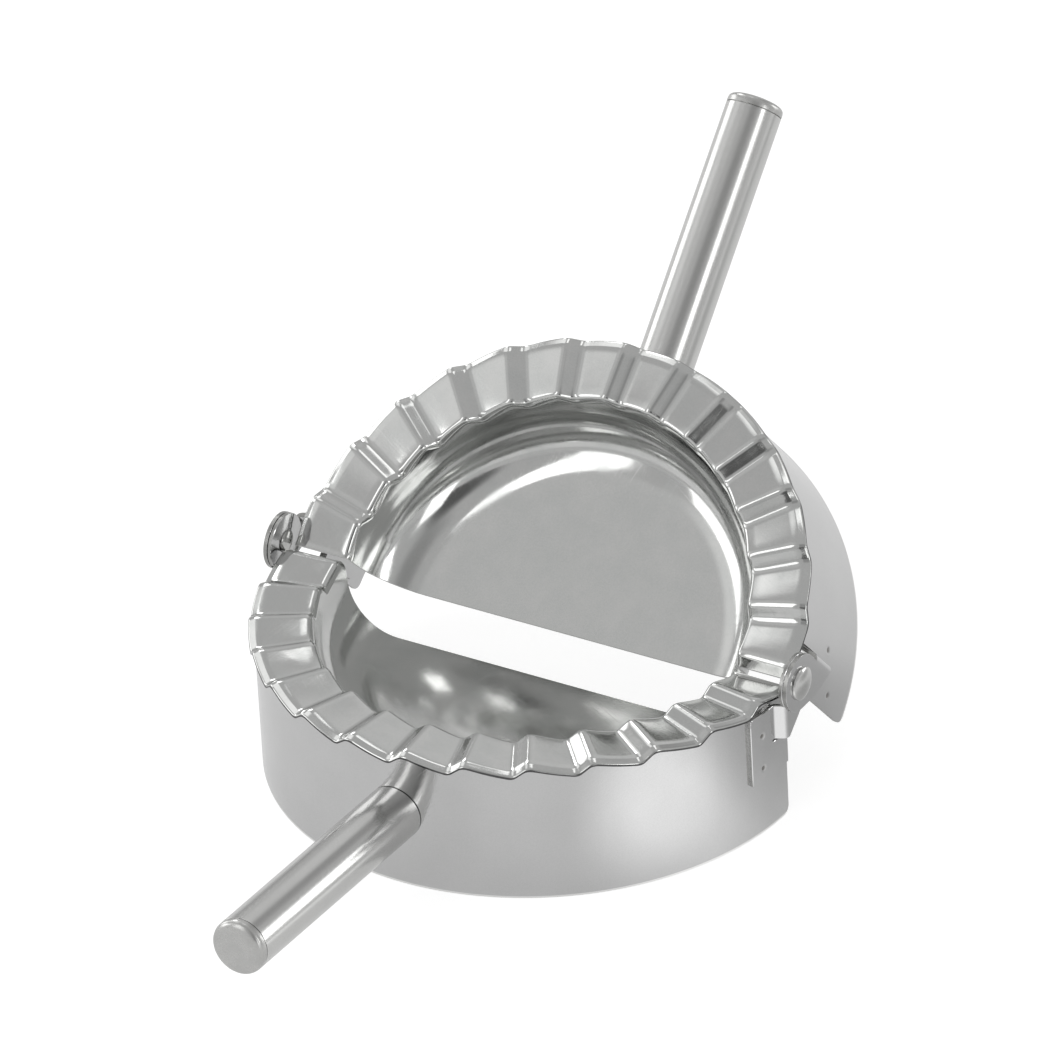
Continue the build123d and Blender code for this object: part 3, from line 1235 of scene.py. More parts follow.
@dataclass(frozen=True)
class WeldSpot:
    """The round dent of a spot weld, by its distance from the hinge line and its height."""

    along: float
    height: float
    radius: float = 0.85 * MM
    dent: float = 0.22 * MM
    swell: float = 0.03 * MM

    # Shares of the radius: the dent's flat middle and its slope, the swell's crest and its half width
    dent_middle: ClassVar[float] = 0.45
    dent_slope: ClassVar[float] = 0.5
    swell_crest: ClassVar[float] = 1.15
    swell_width: ClassVar[float] = 0.35
    mesh_lines: ClassVar[tuple[float, ...]] = (-1.5, -1.2, -0.9, -0.6, -0.3, 0, 0.3, 0.6, 0.9, 1.2, 1.5)

    def relief(self, along: float, height: float) -> float:
        """How far the surface stands out near the weld: in at its dent, out at its rim.

        Args:
            along: The distance from the hinge line.
            height: The height.

        Returns:
            The relief.
        """
        distance = math.hypot(along - self.along, height - self.height) / self.radius
        dent = self.dent * (1 - smooth((distance - self.dent_middle) / self.dent_slope))
        swell = self.swell * (1 - smooth(abs(distance - self.swell_crest) / self.swell_width))
        return swell - dent

    def marks(self, centre: float) -> list[float]:
        """Mesh lines across the weld, along either direction."""
        return [centre + self.radius * share for share in self.mesh_lines]


def spaced(values: Sequence[float], least: float, kept: Sequence[float] = ()) -> list[float]:
    """Sorts values and leaves out those that crowd a neighbour.

    Args:
        values: The values.
        least: The least distance between neighbours.
        kept: Values that always stay.

    Returns:
        The values that are left, in order.
    """
    chosen = list(kept)
    for value in values:
        if all(abs(value - other) >= least for other in chosen):
            chosen.append(value)
    return sorted(chosen)


@dataclass
class Skirt(SubAssembly):
    """The half-round band of sheet with the cutting edge at its foot."""

    radius: float = 60.0 * MM
    wall: float = 0.8 * MM
    level: float = 32.4 * MM
    plate_thickness: float = 1.0 * MM
    plate_gap: float = 0.02 * MM
    cutting_bevel: float = 0.4 * MM
    corner_radius: float = 2.0 * MM
    notch_reach: float = 0.0
    notch_bottom: float = 20.8 * MM
    spots: tuple[WeldSpot, ...] = ()
    cut_edge_round: float = 0.16 * MM
    upper_zone: float = 4.0 * MM
    row_spacing: float = 2.6 * MM
    least_row_spacing: float = 0.3 * MM
    least_end_spacing: float = 0.1 * MM
    least_line_spacing: float = 0.12 * MM

    # Where mesh lines run near the ends, as shares of the rounded corner and of the notch
    corner_shares: ClassVar[tuple[float, ...]] = (0.125, 0.2, 0.35, 0.55, 0.8, 1.0)
    notch_shares: ClassVar[tuple[float, ...]] = (0.7, 1.0)
    slack: ClassVar[float] = 0.01 * MM

    def reach(self, angle: float) -> float:
        """How far from the hinge line the skirt's outside is at an angle."""
        return self.radius * math.sin(angle)

    def lines(self, pleats: Pleats) -> list[Crossing]:
        """The skirt's mesh lines from the right end to the left end.

        Args:
            pleats: The pleats that its upper edge follows.

        Returns:
            The lines.
        """
        near_end = [self.corner_radius * share for share in self.corner_shares]
        for spot in self.spots:
            near_end += spot.marks(spot.along)
        kept = []
        if self.notch_reach:
            near_end += [self.notch_reach * share for share in self.notch_shares]
            kept.append(self.notch_reach)
        near_end = spaced(near_end, self.least_end_spacing, kept)
        near_end = [along for along in near_end if along > pleats.end_gap / 2]
        lines = [Crossing(0.0, along) for along in near_end]
        for line in pleats.crossings():
            reach = self.reach(line.angle(self.radius))
            clear = all(abs(reach - along) > self.least_line_spacing for along in near_end)
            if 0 < line.angle(self.radius) < math.pi and reach > pleats.end_gap and clear:
                lines.append(line)
        lines += [Crossing(math.pi, -along) for along in near_end]
        return [RIGHT_END, *sorted(lines, key=lambda line: line.angle(self.radius)), LEFT_END]

    def rows(self) -> list[float]:
        """The mesh rows between the cutting edge and the lowest part of the upper edge.

        Returns:
            Their heights, in order.
        """
        top = self.level - self.upper_zone
        marks = [mark for spot in self.spots for mark in spot.marks(spot.height)]
        kept = [self.notch_bottom] if self.notch_reach else []
        even = steps(self.cutting_bevel, top, round(top / self.row_spacing))
        rows = spaced([*marks, *even], self.least_row_spacing, kept)
        return [height for height in rows if height >= self.cutting_bevel]

    def column(self, line: Crossing, pleats: Pleats, rows: Sequence[float]) -> list[PointPair]:
        """One column of the skirt's mesh, from the cutting edge up.

        Args:
            line: Where the column stands.
            pleats: The pleats that the upper edge follows.
            rows: The heights between the two edges.

        Returns:
            The column's point pairs.
        """
        inner = self.radius - self.wall
        outer_angle, inner_angle = pleats.clipped(line, self.radius), pleats.clipped(line, inner)
        along = self.reach(outer_angle)
        from_end = max(self.corner_radius - (along - pleats.end_gap / 2), 0.0)
        lift = self.corner_radius - math.sqrt(max(self.corner_radius**2 - from_end**2, 0.0))
        column = [(
            polar(self.radius, outer_angle, lift),
            polar(inner + self.cutting_bevel, pleats.clipped(line, inner + self.cutting_bevel), lift),
        )]
        for height in rows:
            held = max(height, lift + self.cutting_bevel)
            relief = sum(spot.relief(along, held) for spot in self.spots)
            column.append((polar(self.radius + relief, outer_angle, held), polar(inner, inner_angle, held)))
        under = self.level - self.plate_thickness - self.plate_gap
        column.append((
            polar(self.radius, outer_angle, under + pleats.height(outer_angle, self.radius)),
            polar(inner, inner_angle, under + pleats.height(inner_angle, inner)),
        ))
        return column

    def build(self) -> None:
        """Builds the skirt and dresses it."""
        pleats = Pleats.of_half(self.half)
        rows = self.rows()
        lines = self.lines(pleats)
        columns = [self.column(line, pleats, rows) for line in lines]
        sheet = Sheet()
        reach = [self.reach(pleats.clipped(line, self.radius)) for line in lines]
        inside = [number for number, along in enumerate(reach) if along >= self.notch_reach - self.slack]
        first, last = inside[0], inside[-1]
        sheet.net(columns[first:last + 1])
        below = sum(1 for height in rows if height <= self.notch_bottom + self.slack) + 1
        for end in (columns[:first + 1], columns[last:]):
            sheet.net([column[:below] for column in end])
        welds = [polar(self.radius, math.asin(spot.along / self.radius), spot.height) for spot in self.spots]
        finish = SKIRT_STEEL.welded("welded_skirt", welds)
        materials = [finish.material(self.grain), SHEARED_STEEL.material(self.grain)]
        self.set_up(sheet.solid(), "skirt", materials, "satin_skirt", cut_edge_round=self.cut_edge_round)


# Hinge

@dataclass
class HingeBracket(SubAssembly):
    """A bracket: a leaf welded to the skirt, a tab that bends outwards and a round ear for the rivet."""

    side: Side = Side.RIGHT
    leaf_radius: float = 60.0 * MM
    leaf_reach: float = 13.3 * MM
    leaf_end: float = 1.0 * MM
    leaf_bottom: float = 13.3 * MM
    leaf_bend: float = 5.5 * MM
    ear_bend: float = 4.4 * MM
    ear_face: float = 62.2 * MM
    ear_radius: float = 6.3 * MM
    ear_foot: float = 8.5 * MM
    hole_radius: float = 1.65 * MM
    tab_bottom: float = 21.5 * MM
    tab_top: float = 29.7 * MM
    tab_slit: float = 0.5 * MM
    thickness: float = 0.9 * MM
    bend_radius: float = 1.05 * MM
    chamfer: float = 0.28 * MM
    spots: tuple[WeldSpot, ...] = ()
    least_line_spacing: float = 0.25 * MM
    leaf_steps: int = 5
    upright_steps: int = 4
    bend_steps: int = 6
    ear_side_steps: int = 5
    ear_round_steps: int = 56
    ear_neck_steps: int = 3

    # Where the ear's rings lie, as shares of the way from its hole to its outline
    ear_rings: ClassVar[tuple[float, ...]] = (0, 0.25, 0.5, 0.75, 1)

    @property
    def middle(self) -> float:
        """The radius of the middle of the leaf's thickness."""
        return self.leaf_radius + self.thickness / 2

    @property
    def slit_end(self) -> float:
        """How far from the hinge line the slit between leaf and tab ends."""
        return self.leaf_bend + self.thickness

    def leaf_station(self, along: float) -> tuple[Vector, Vector]:
        """A place on the leaf's line in plan.

        Args:
            along: The distance from the hinge line.

        Returns:
            A point in the middle of the leaf's thickness, and the outward direction there.
        """
        angle = math.asin(along / self.middle)
        outward = polar(1.0, angle, 0)
        return outward * self.middle, outward

    def tab_stations(self) -> list[tuple[Vector, Vector]]:
        """The tab's line in plan, from the leaf round both bends to the ear.

        Returns:
            Points in the middle of the thickness, with the outward direction at each.
        """
        start, outward = self.leaf_station(self.leaf_bend)
        corner = Vector((self.ear_face + self.thickness / 2, -self.ear_bend, 0))
        directions = [Vector((-outward.y, outward.x, 0)), (corner - start).normalized(), Vector((0, 1, 0))]
        stations = [self.leaf_station(self.slit_end)]
        for place, before, after in ((start, *directions[:2]), (corner, *directions[1:])):
            turn = before.angle(after) * (1 if before.cross(after).z > 0 else -1)
            reach = self.bend_radius * math.tan(abs(turn) / 2)
            centre_side = Vector((-before.y, before.x, 0)) * math.copysign(1, turn)
            centre = place - before * reach + centre_side * self.bend_radius
            for step in steps(0, turn, self.bend_steps):
                arm = Matrix.Rotation(step, 3, "Z") @ (-centre_side * self.bend_radius)
                heading = Matrix.Rotation(step, 3, "Z") @ before
                stations.append((centre + arm, Vector((heading.y, -heading.x, 0))))
        return stations

    def strip(
        self, stations: Sequence[tuple[Vector, Vector]], rows: Sequence[float]
    ) -> list[list[PointPair]]:
        """Columns of point pairs for upright sheet along a line.

        Args:
            stations: The line in plan, with its outward directions.
            rows: The heights.

        Returns:
            A column for each station.
        """
        columns = []
        for place, outward in stations:
            column = []
            for height in rows:
                up = Vector((0, 0, height))
                relief = sum(spot.relief(-place.y, height) for spot in self.spots)
                good = place + outward * (self.thickness / 2 + relief) + up
                column.append((good, place - outward * self.thickness / 2 + up))
            columns.append(column)
        return columns

    def ear_outline(self, border: float, tab_rows: Sequence[float]) -> list[tuple[float, float]]:
        """The ear's outline, from the tab's lower corner round to the tab again, closed.

        Args:
            border: How far along y the tab's last bend ends.
            tab_rows: The heights of the tab's mesh rows.

        Returns:
            Points (y, z), measured from the rivet.
        """
        axis = self.hinge.z
        tangent = math.acos(self.ear_radius / self.ear_foot)
        top = self.tab_top - axis
        round_start = tangent - math.pi / 2
        # The tab's upper border meets the ear's round, or a straight neck below it if the bend is further out
        if self.ear_bend < self.ear_radius:
            round_end = math.pi + math.asin(-top / self.ear_radius)
            neck = []
        else:
            round_end = math.pi
            neck = [(-self.ear_radius, share * top) for share in steps(0, 1, self.ear_neck_steps)[1:]]
        foot = (0.0, -self.ear_foot)
        corner = (border, self.tab_bottom - axis)
        knee = (self.ear_radius * math.cos(round_start), self.ear_radius * math.sin(round_start))
        outline = []
        for first, second in ((corner, foot), (foot, knee)):
            for share in steps(0, 1, self.ear_side_steps)[:-1]:
                outline.append(tuple(a + share * (b - a) for a, b in zip(first, second)))
        for turn in steps(round_start, round_end, self.ear_round_steps):
            outline.append((self.ear_radius * math.cos(turn), self.ear_radius * math.sin(turn)))
        outline += neck
        outline += [(border, height - axis) for height in reversed(tab_rows[1:])]
        return outline

    def ear(self, border: float, tab_rows: Sequence[float]) -> list[list[PointPair]]:
        """The ear's mesh: rings from the rivet's hole to its outline.

        Args:
            border: How far along y the tab's last bend ends.
            tab_rows: The heights of the tab's mesh rows.

        Returns:
            Columns of point pairs, one for each point of the outline.
        """
        columns = []
        for y, z in self.ear_outline(border, tab_rows):
            reach = math.hypot(y, z)
            column = []
            for share in self.ear_rings:
                radius = self.hole_radius + share * (reach - self.hole_radius)
                place = Vector((self.ear_face, y * radius / reach, self.hinge.z + z * radius / reach))
                column.append((place + Vector((self.thickness, 0, 0)), place))
            columns.append(column)
        return columns

    def lines(self, marks: Sequence[float], start: float, end: float, count: int) -> list[float]:
        """Mesh lines that are even, apart from those at the welds.

        Args:
            marks: The lines that the welds need.
            start: The first line.
            end: The last line.
            count: How many even steps there are.

        Returns:
            The lines in order.
        """
        lines = spaced([*marks, *steps(start, end, count)], self.least_line_spacing, (start, end))
        return [line for line in lines if start <= line <= end]

    def build(self) -> None:
        """Builds the bracket and dresses it."""
        up_marks = [mark for spot in self.spots for mark in spot.marks(spot.height)]
        low = self.lines(up_marks, self.leaf_bottom, self.tab_bottom - self.tab_slit, self.upright_steps)
        tab = self.lines(up_marks, self.tab_bottom, self.tab_top, self.upright_steps)
        across_marks = [mark for spot in self.spots for mark in spot.marks(spot.along)]
        wide = self.lines(across_marks, self.slit_end, self.leaf_reach, self.leaf_steps)
        narrow = steps(self.slit_end, self.leaf_end, self.upright_steps)
        stations = self.tab_stations()
        sheet = Sheet()
        sheet.net(self.strip([self.leaf_station(along) for along in reversed(wide)], [*low, *tab]))
        sheet.net(self.strip([self.leaf_station(along) for along in narrow], low))
        sheet.net(self.strip(stations, tab))
        sheet.net(self.ear(stations[-1][0].y, tab), closed=True)
        welds = [self.leaf_station(spot.along)[0] + Vector((0, 0, spot.height)) for spot in self.spots]
        finish = SATIN_STEEL.welded("welded_leaf", welds)
        materials = [finish.material(self.grain), SHEARED_STEEL.material(self.grain)]
        name = f"{self.side.value}_hinge_bracket"
        self.set_up(sheet.solid(), name, materials, "bracket_sheet", self.side, self.chamfer, flat=True)


RIVET_STEEL = SteelFinish(
    name="rivet",
    light=(0.66, 0.66, 0.65),
    dark=(0.56, 0.56, 0.55),
    roughness=0.13,
    patch_size=3 * MM,
    streak=2 * MM,
    streak_spacing=0.12 * MM,
    streak_height=0.002 * MM,
    scratch_height=0.002 * MM,
)


@dataclass
class HingeRivet(SubAssembly):
    """The rivet that joins two ears: a domed head outside and a flattened tail inside."""

    side: Side = Side.RIGHT
    seat: float = 64.1 * MM
    tail_face: float = 62.15 * MM
    shank_radius: float = 1.6 * MM
    head_radius: float = 3.7 * MM
    head_height: float = 1.5 * MM
    rim_height: float = 0.6 * MM
    tail_radius: float = 2.5 * MM
    tail_height: float = 0.5 * MM
    tail_dome: float = 0.1 * MM
    tail_shoulder: float = 0.15 * MM
    tail_dome_share: float = 0.6
    edge_round: float = 0.25 * MM
    crown_inset: float = 0.975
    crown_steps: int = 12
    sides: int = 64

    def profile(self) -> list[tuple[float, float]]:
        """The rivet's outline.

        Returns:
            Points by their distance along x and their radius.
        """
        rise = self.head_height - self.rim_height
        ball = (self.head_radius**2 + rise**2) / (2 * rise)
        start = math.asin(self.head_radius / ball)
        small = self.edge_round
        tail_end = self.tail_face - self.tail_height
        outline = [
            (tail_end, 0.0),
            (tail_end + self.tail_dome, self.tail_radius * self.tail_dome_share),
            (tail_end + self.tail_shoulder, self.tail_radius - small),
            (tail_end + small, self.tail_radius),
            (self.tail_face, self.tail_radius),
            (self.tail_face, self.shank_radius),
            (self.seat, self.shank_radius),
            (self.seat, self.head_radius - small / 2),
            (self.seat + small / 2, self.head_radius),
            (self.seat + self.rim_height - small, self.head_radius),
        ]
        for turn in steps(start, 0, self.crown_steps):
            height = self.seat + self.head_height - ball * (1 - math.cos(turn))
            outline.append((height, ball * math.sin(turn) * (self.crown_inset if turn == start else 1)))
        outline[-1] = (self.seat + self.head_height, 0.0)
        return outline

    def build(self) -> None:
        """Builds the rivet and dresses it."""
        along_x = Matrix.Translation((0, 0, self.hinge.z)) @ Matrix.Rotation(math.pi / 2, 4, "Y")
        solid = Solid()
        solid.lathe(self.profile(), along_x, self.sides)
        material = RIVET_STEEL.material(self.grain.turned("rivet", along_x))
        self.set_up(solid, f"{self.side.value}_hinge_rivet", [material], "rivet_steel", self.side)


# Handle

SATIN_TUBE_STEEL = SteelFinish(
    name="satin_tube",
    light=(0.66, 0.66, 0.65),
    dark=(0.60, 0.60, 0.59),
    roughness=0.21,
    patch_size=15 * MM,
    streak=3 * MM,
    streak_spacing=0.2 * MM,
    streak_height=0.001 * MM,
    speckle_height=0.0015 * MM,
    scratch_height=0.0015 * MM,
)
TURNED_STEEL = SteelFinish(
    name="turned_cap",
    light=(0.60, 0.60, 0.59),
    dark=(0.50, 0.50, 0.49),
    roughness=0.3,
    patch_size=5 * MM,
    streak=6 * MM,
    streak_spacing=0.14 * MM,
    streak_height=0.003 * MM,
    speckle_height=0.0015 * MM,
)
PLAIN_STEEL = SteelFinish(
    name="plain_steel",
    light=(0.52, 0.52, 0.51),
    dark=(0.42, 0.42, 0.41),
    roughness=0.32,
    patch_size=4 * MM,
    streak_height=0.002 * MM,
    speckle_height=0.002 * MM,
)


@dataclass
class Handle(SubAssembly):
    """A tube that butts on the skirt, its end cap, and the inner pieces that keep their CAD shape."""

    radius: float = 6.2 * MM
    wall: float = 1.5 * MM
    length: float = 63.0 * MM
    skirt_radius: float = 60.0 * MM
    root_height: float = 17.4 * MM
    tilt: float = math.radians(3.0)
    edge_chamfer: float = 0.06 * MM
    seam_width: float = 0.16 * MM
    seam_depth: float = 0.5 * MM
    root_gap: float = 0.15 * MM
    cap_thickness: float = 2.6 * MM
    cap_squareness: float = 0.5
    spigot: float = 5.0 * MM
    fit_gap: float = 0.03 * MM
    root_zone: float = 2.0 * MM
    sides: int = 112
    tube_steps: int = 12
    cap_steps: int = 24

    @property
    def axes(self) -> Matrix:
        """The handle's frame in the flat drawing: its origin on the skirt and its z axis outwards."""
        outward = Vector((0, -math.cos(self.tilt), math.sin(self.tilt)))
        across = Vector((1, 0, 0))
        turn = Matrix((across, outward.cross(across), outward)).transposed().to_4x4()
        return Matrix.Translation((0, -self.skirt_radius, self.root_height)) @ turn

    @property
    def handle_grain(self) -> GrainFrame:
        """The frame for the handle's finishes."""
        mirrored = Matrix.Diagonal((1, self.half.facing, 1, 1))
        return self.grain.turned("handle", mirrored @ self.axes @ mirrored)

    def coped_ring(self, solid: Solid, radius: float, beyond: float) -> list[int]:
        """A ring of points where the tube meets the skirt.

        Args:
            solid: The solid that gets the points.
            radius: The ring's radius.
            beyond: How far the ring stands off the skirt, along the handle.

        Returns:
            The numbers of the points.
        """
        outward = self.axes.to_3x3() @ Vector((0, 0, 1))
        ring = []
        for start in round_ring(radius, 0, self.sides):
            place = self.axes @ start
            wall = -math.sqrt(self.skirt_radius**2 - place.x**2)
            reach = (wall - place.y) / outward.y + beyond
            ring.append(solid.point(place + outward * reach))
        return ring

    def level_ring(self, solid: Solid, radius: float, distance: float) -> list[int]:
        """A round ring of points, a distance along the handle."""
        return [solid.point(self.axes @ place) for place in round_ring(radius, distance, self.sides)]

    def tube(self) -> Solid:
        """Draws the tube, coped to the skirt with a fine joint line, and with small chamfers at both ends.

        Returns:
            The tube.
        """
        solid = Solid()
        end = self.length - self.cap_thickness
        small = self.edge_chamfer
        bore = self.radius - self.wall
        rings = [
            self.coped_ring(solid, self.radius - self.seam_depth, 0.0),
            self.coped_ring(solid, self.radius - self.seam_depth, self.root_gap),
            self.coped_ring(solid, self.radius - small, self.root_gap),
            self.coped_ring(solid, self.radius, self.root_gap + small),
        ]
        for distance in steps(self.root_zone, end - small, self.tube_steps):
            rings.append(self.level_ring(solid, self.radius, distance))
        rings += [
            self.level_ring(solid, self.radius - small, end),
            self.level_ring(solid, bore, end),
            self.level_ring(solid, bore, self.root_zone),
            self.coped_ring(solid, bore, 0.0),
        ]
        solid.rings(rings, closed=True)
        return solid

    def cap(self) -> Solid:
        """Draws the end cap: a flat dome that runs into its round edge, and a spigot inside the tube.

        Returns:
            The cap.
        """
        end = self.length - self.cap_thickness
        foot = end - self.spigot
        bore = self.radius - self.wall - self.fit_gap
        groove = self.radius - self.seam_depth
        small = self.edge_chamfer
        seam = end + self.seam_width
        profile = [(foot, 0.0), (foot, bore - small), (foot + small, bore), (end, bore)]
        profile += [(end, groove), (seam, groove), (seam, self.radius - small), (seam + small, self.radius)]
        dome = self.length - seam - small
        for turn in steps(0, math.pi / 2, self.cap_steps)[1:-1]:
            out, up = math.cos(turn)**self.cap_squareness, math.sin(turn)**self.cap_squareness
            profile.append((self.length - dome * (1 - up), self.radius * out))
        profile.append((self.length, 0.0))
        solid = Solid()
        solid.lathe(profile, self.axes, self.sides)
        return solid

    def build(self, nodes: dict[str, bpy.types.Object]) -> None:
        """Builds the tube and the cap, and dresses the handle.

        Args:
            nodes: The CAD nodes by name, of which the inner pieces are dressed as they are.
        """
        self.set_up(self.tube(), "handle_tube", [SATIN_TUBE_STEEL.material(self.handle_grain)], "satin_tube")
        self.set_up(self.cap(), "handle_end_cap", [TURNED_STEEL.material(self.handle_grain)], "end_cap")
        for name in ("handle_insert", "handle_saddle", "handle_screw"):
            node = nodes[f"{self.half.value}_{name}"]
            node.data.materials.clear()
            node.data.materials.append(PLAIN_STEEL.material(self.handle_grain))
            LOG.info("%s: dressed as it is", node.name)


@dataclass
class MouldHalf(SubAssembly):
    """One half of the mould with all its pieces."""

    nodes: dict[str, bpy.types.Object] = field(default_factory=dict)

    def skirt(self) -> Skirt:
        """The half's skirt. The rear one is notched for its brackets and shows their welds.

        Returns:
            The skirt, not built yet.
        """
        if self.half is Half.FRONT:
            return Skirt(self.half, self.hinge)
        spots = (WeldSpot(along=12.0 * MM, height=15.3 * MM), WeldSpot(along=3.6 * MM, height=10.3 * MM))
        return Skirt(self.half, self.hinge, notch_reach=9.3 * MM, spots=spots)

    def bracket(self, side: Side) -> HingeBracket:
        """One of the half's hinge brackets: welded outside the front skirt, or inside the rear one.

        Args:
            side: The end of the hinge line.

        Returns:
            The bracket, not built yet.
        """
        if self.half is Half.FRONT:
            spots = (WeldSpot(along=9.8 * MM, height=24.3 * MM), WeldSpot(along=9.8 * MM, height=16.4 * MM))
            return HingeBracket(self.half, self.hinge, side, spots=spots)
        return HingeBracket(
            self.half,
            self.hinge,
            side,
            leaf_radius=58.29 * MM,
            leaf_reach=15.5 * MM,
            leaf_bottom=6.8 * MM,
            leaf_bend=8.6 * MM,
            ear_bend=7.0 * MM,
            ear_face=63.2 * MM,
        )

    def build(self) -> None:
        """Builds the half, piece by piece."""
        PressPlate(self.half, self.hinge).build()
        self.skirt().build()
        Handle(self.half, self.hinge).build(self.nodes)
        for side in Side:
            self.bracket(side).build()
            if self.half is Half.REAR:
                HingeRivet(self.half, self.hinge, side).build()


# Studio

def direction(azimuth: float, elevation: float) -> Vector:
    """The direction towards a place in the room.

    Args:
        azimuth: Degrees from the front, positive to the right.
        elevation: Degrees above the floor.

    Returns:
        A vector of length 1.
    """
    around, up = math.radians(azimuth), math.radians(elevation)
    return Vector((math.sin(around) * math.cos(up), -math.cos(around) * math.cos(up), math.sin(up)))


@dataclass(frozen=True)
class SoftBox:
    """A rectangular lamp that faces the mould. Its brightness is 1 where it looks white."""

    name: str
    azimuth: float
    elevation: float
    width: float
    height: float
    brightness: float
    distance: float = 1.5

    def hang(self, target: Vector) -> None:
        """Hangs the lamp.

        Args:
            target: What it faces.
        """
        back = direction(self.azimuth, self.elevation)
        light = bpy.data.lights.new(self.name, "AREA")
        light.shape = "RECTANGLE"
        light.size = self.width
        light.size_y = self.height
        light.energy = self.brightness * math.pi * self.width * self.height
        lamp = bpy.data.objects.new(self.name, light)
        lamp.location = target + back * self.distance
        lamp.rotation_euler = back.to_track_quat("Z", "Y").to_euler()
        lamp.visible_camera = False
        bpy.context.scene.collection.objects.link(lamp)


@dataclass(frozen=True)
class WallPatch:
    """A soft round patch of the room's walls and ceiling that is lighter or darker than the rest."""

    azimuth: float
    elevation: float
    radius: float
    brightness: float
    softness: float = 10.0


@dataclass(frozen=True)
class PaintedFloorLight:
    """A soft round patch of painted light on the floor, lighter for a painted pool of light and darker for
    painted shadow, that shows in the mould's mirrors.
    """

    x: float
    y: float
    radius: float
    softness: float
    glow: float


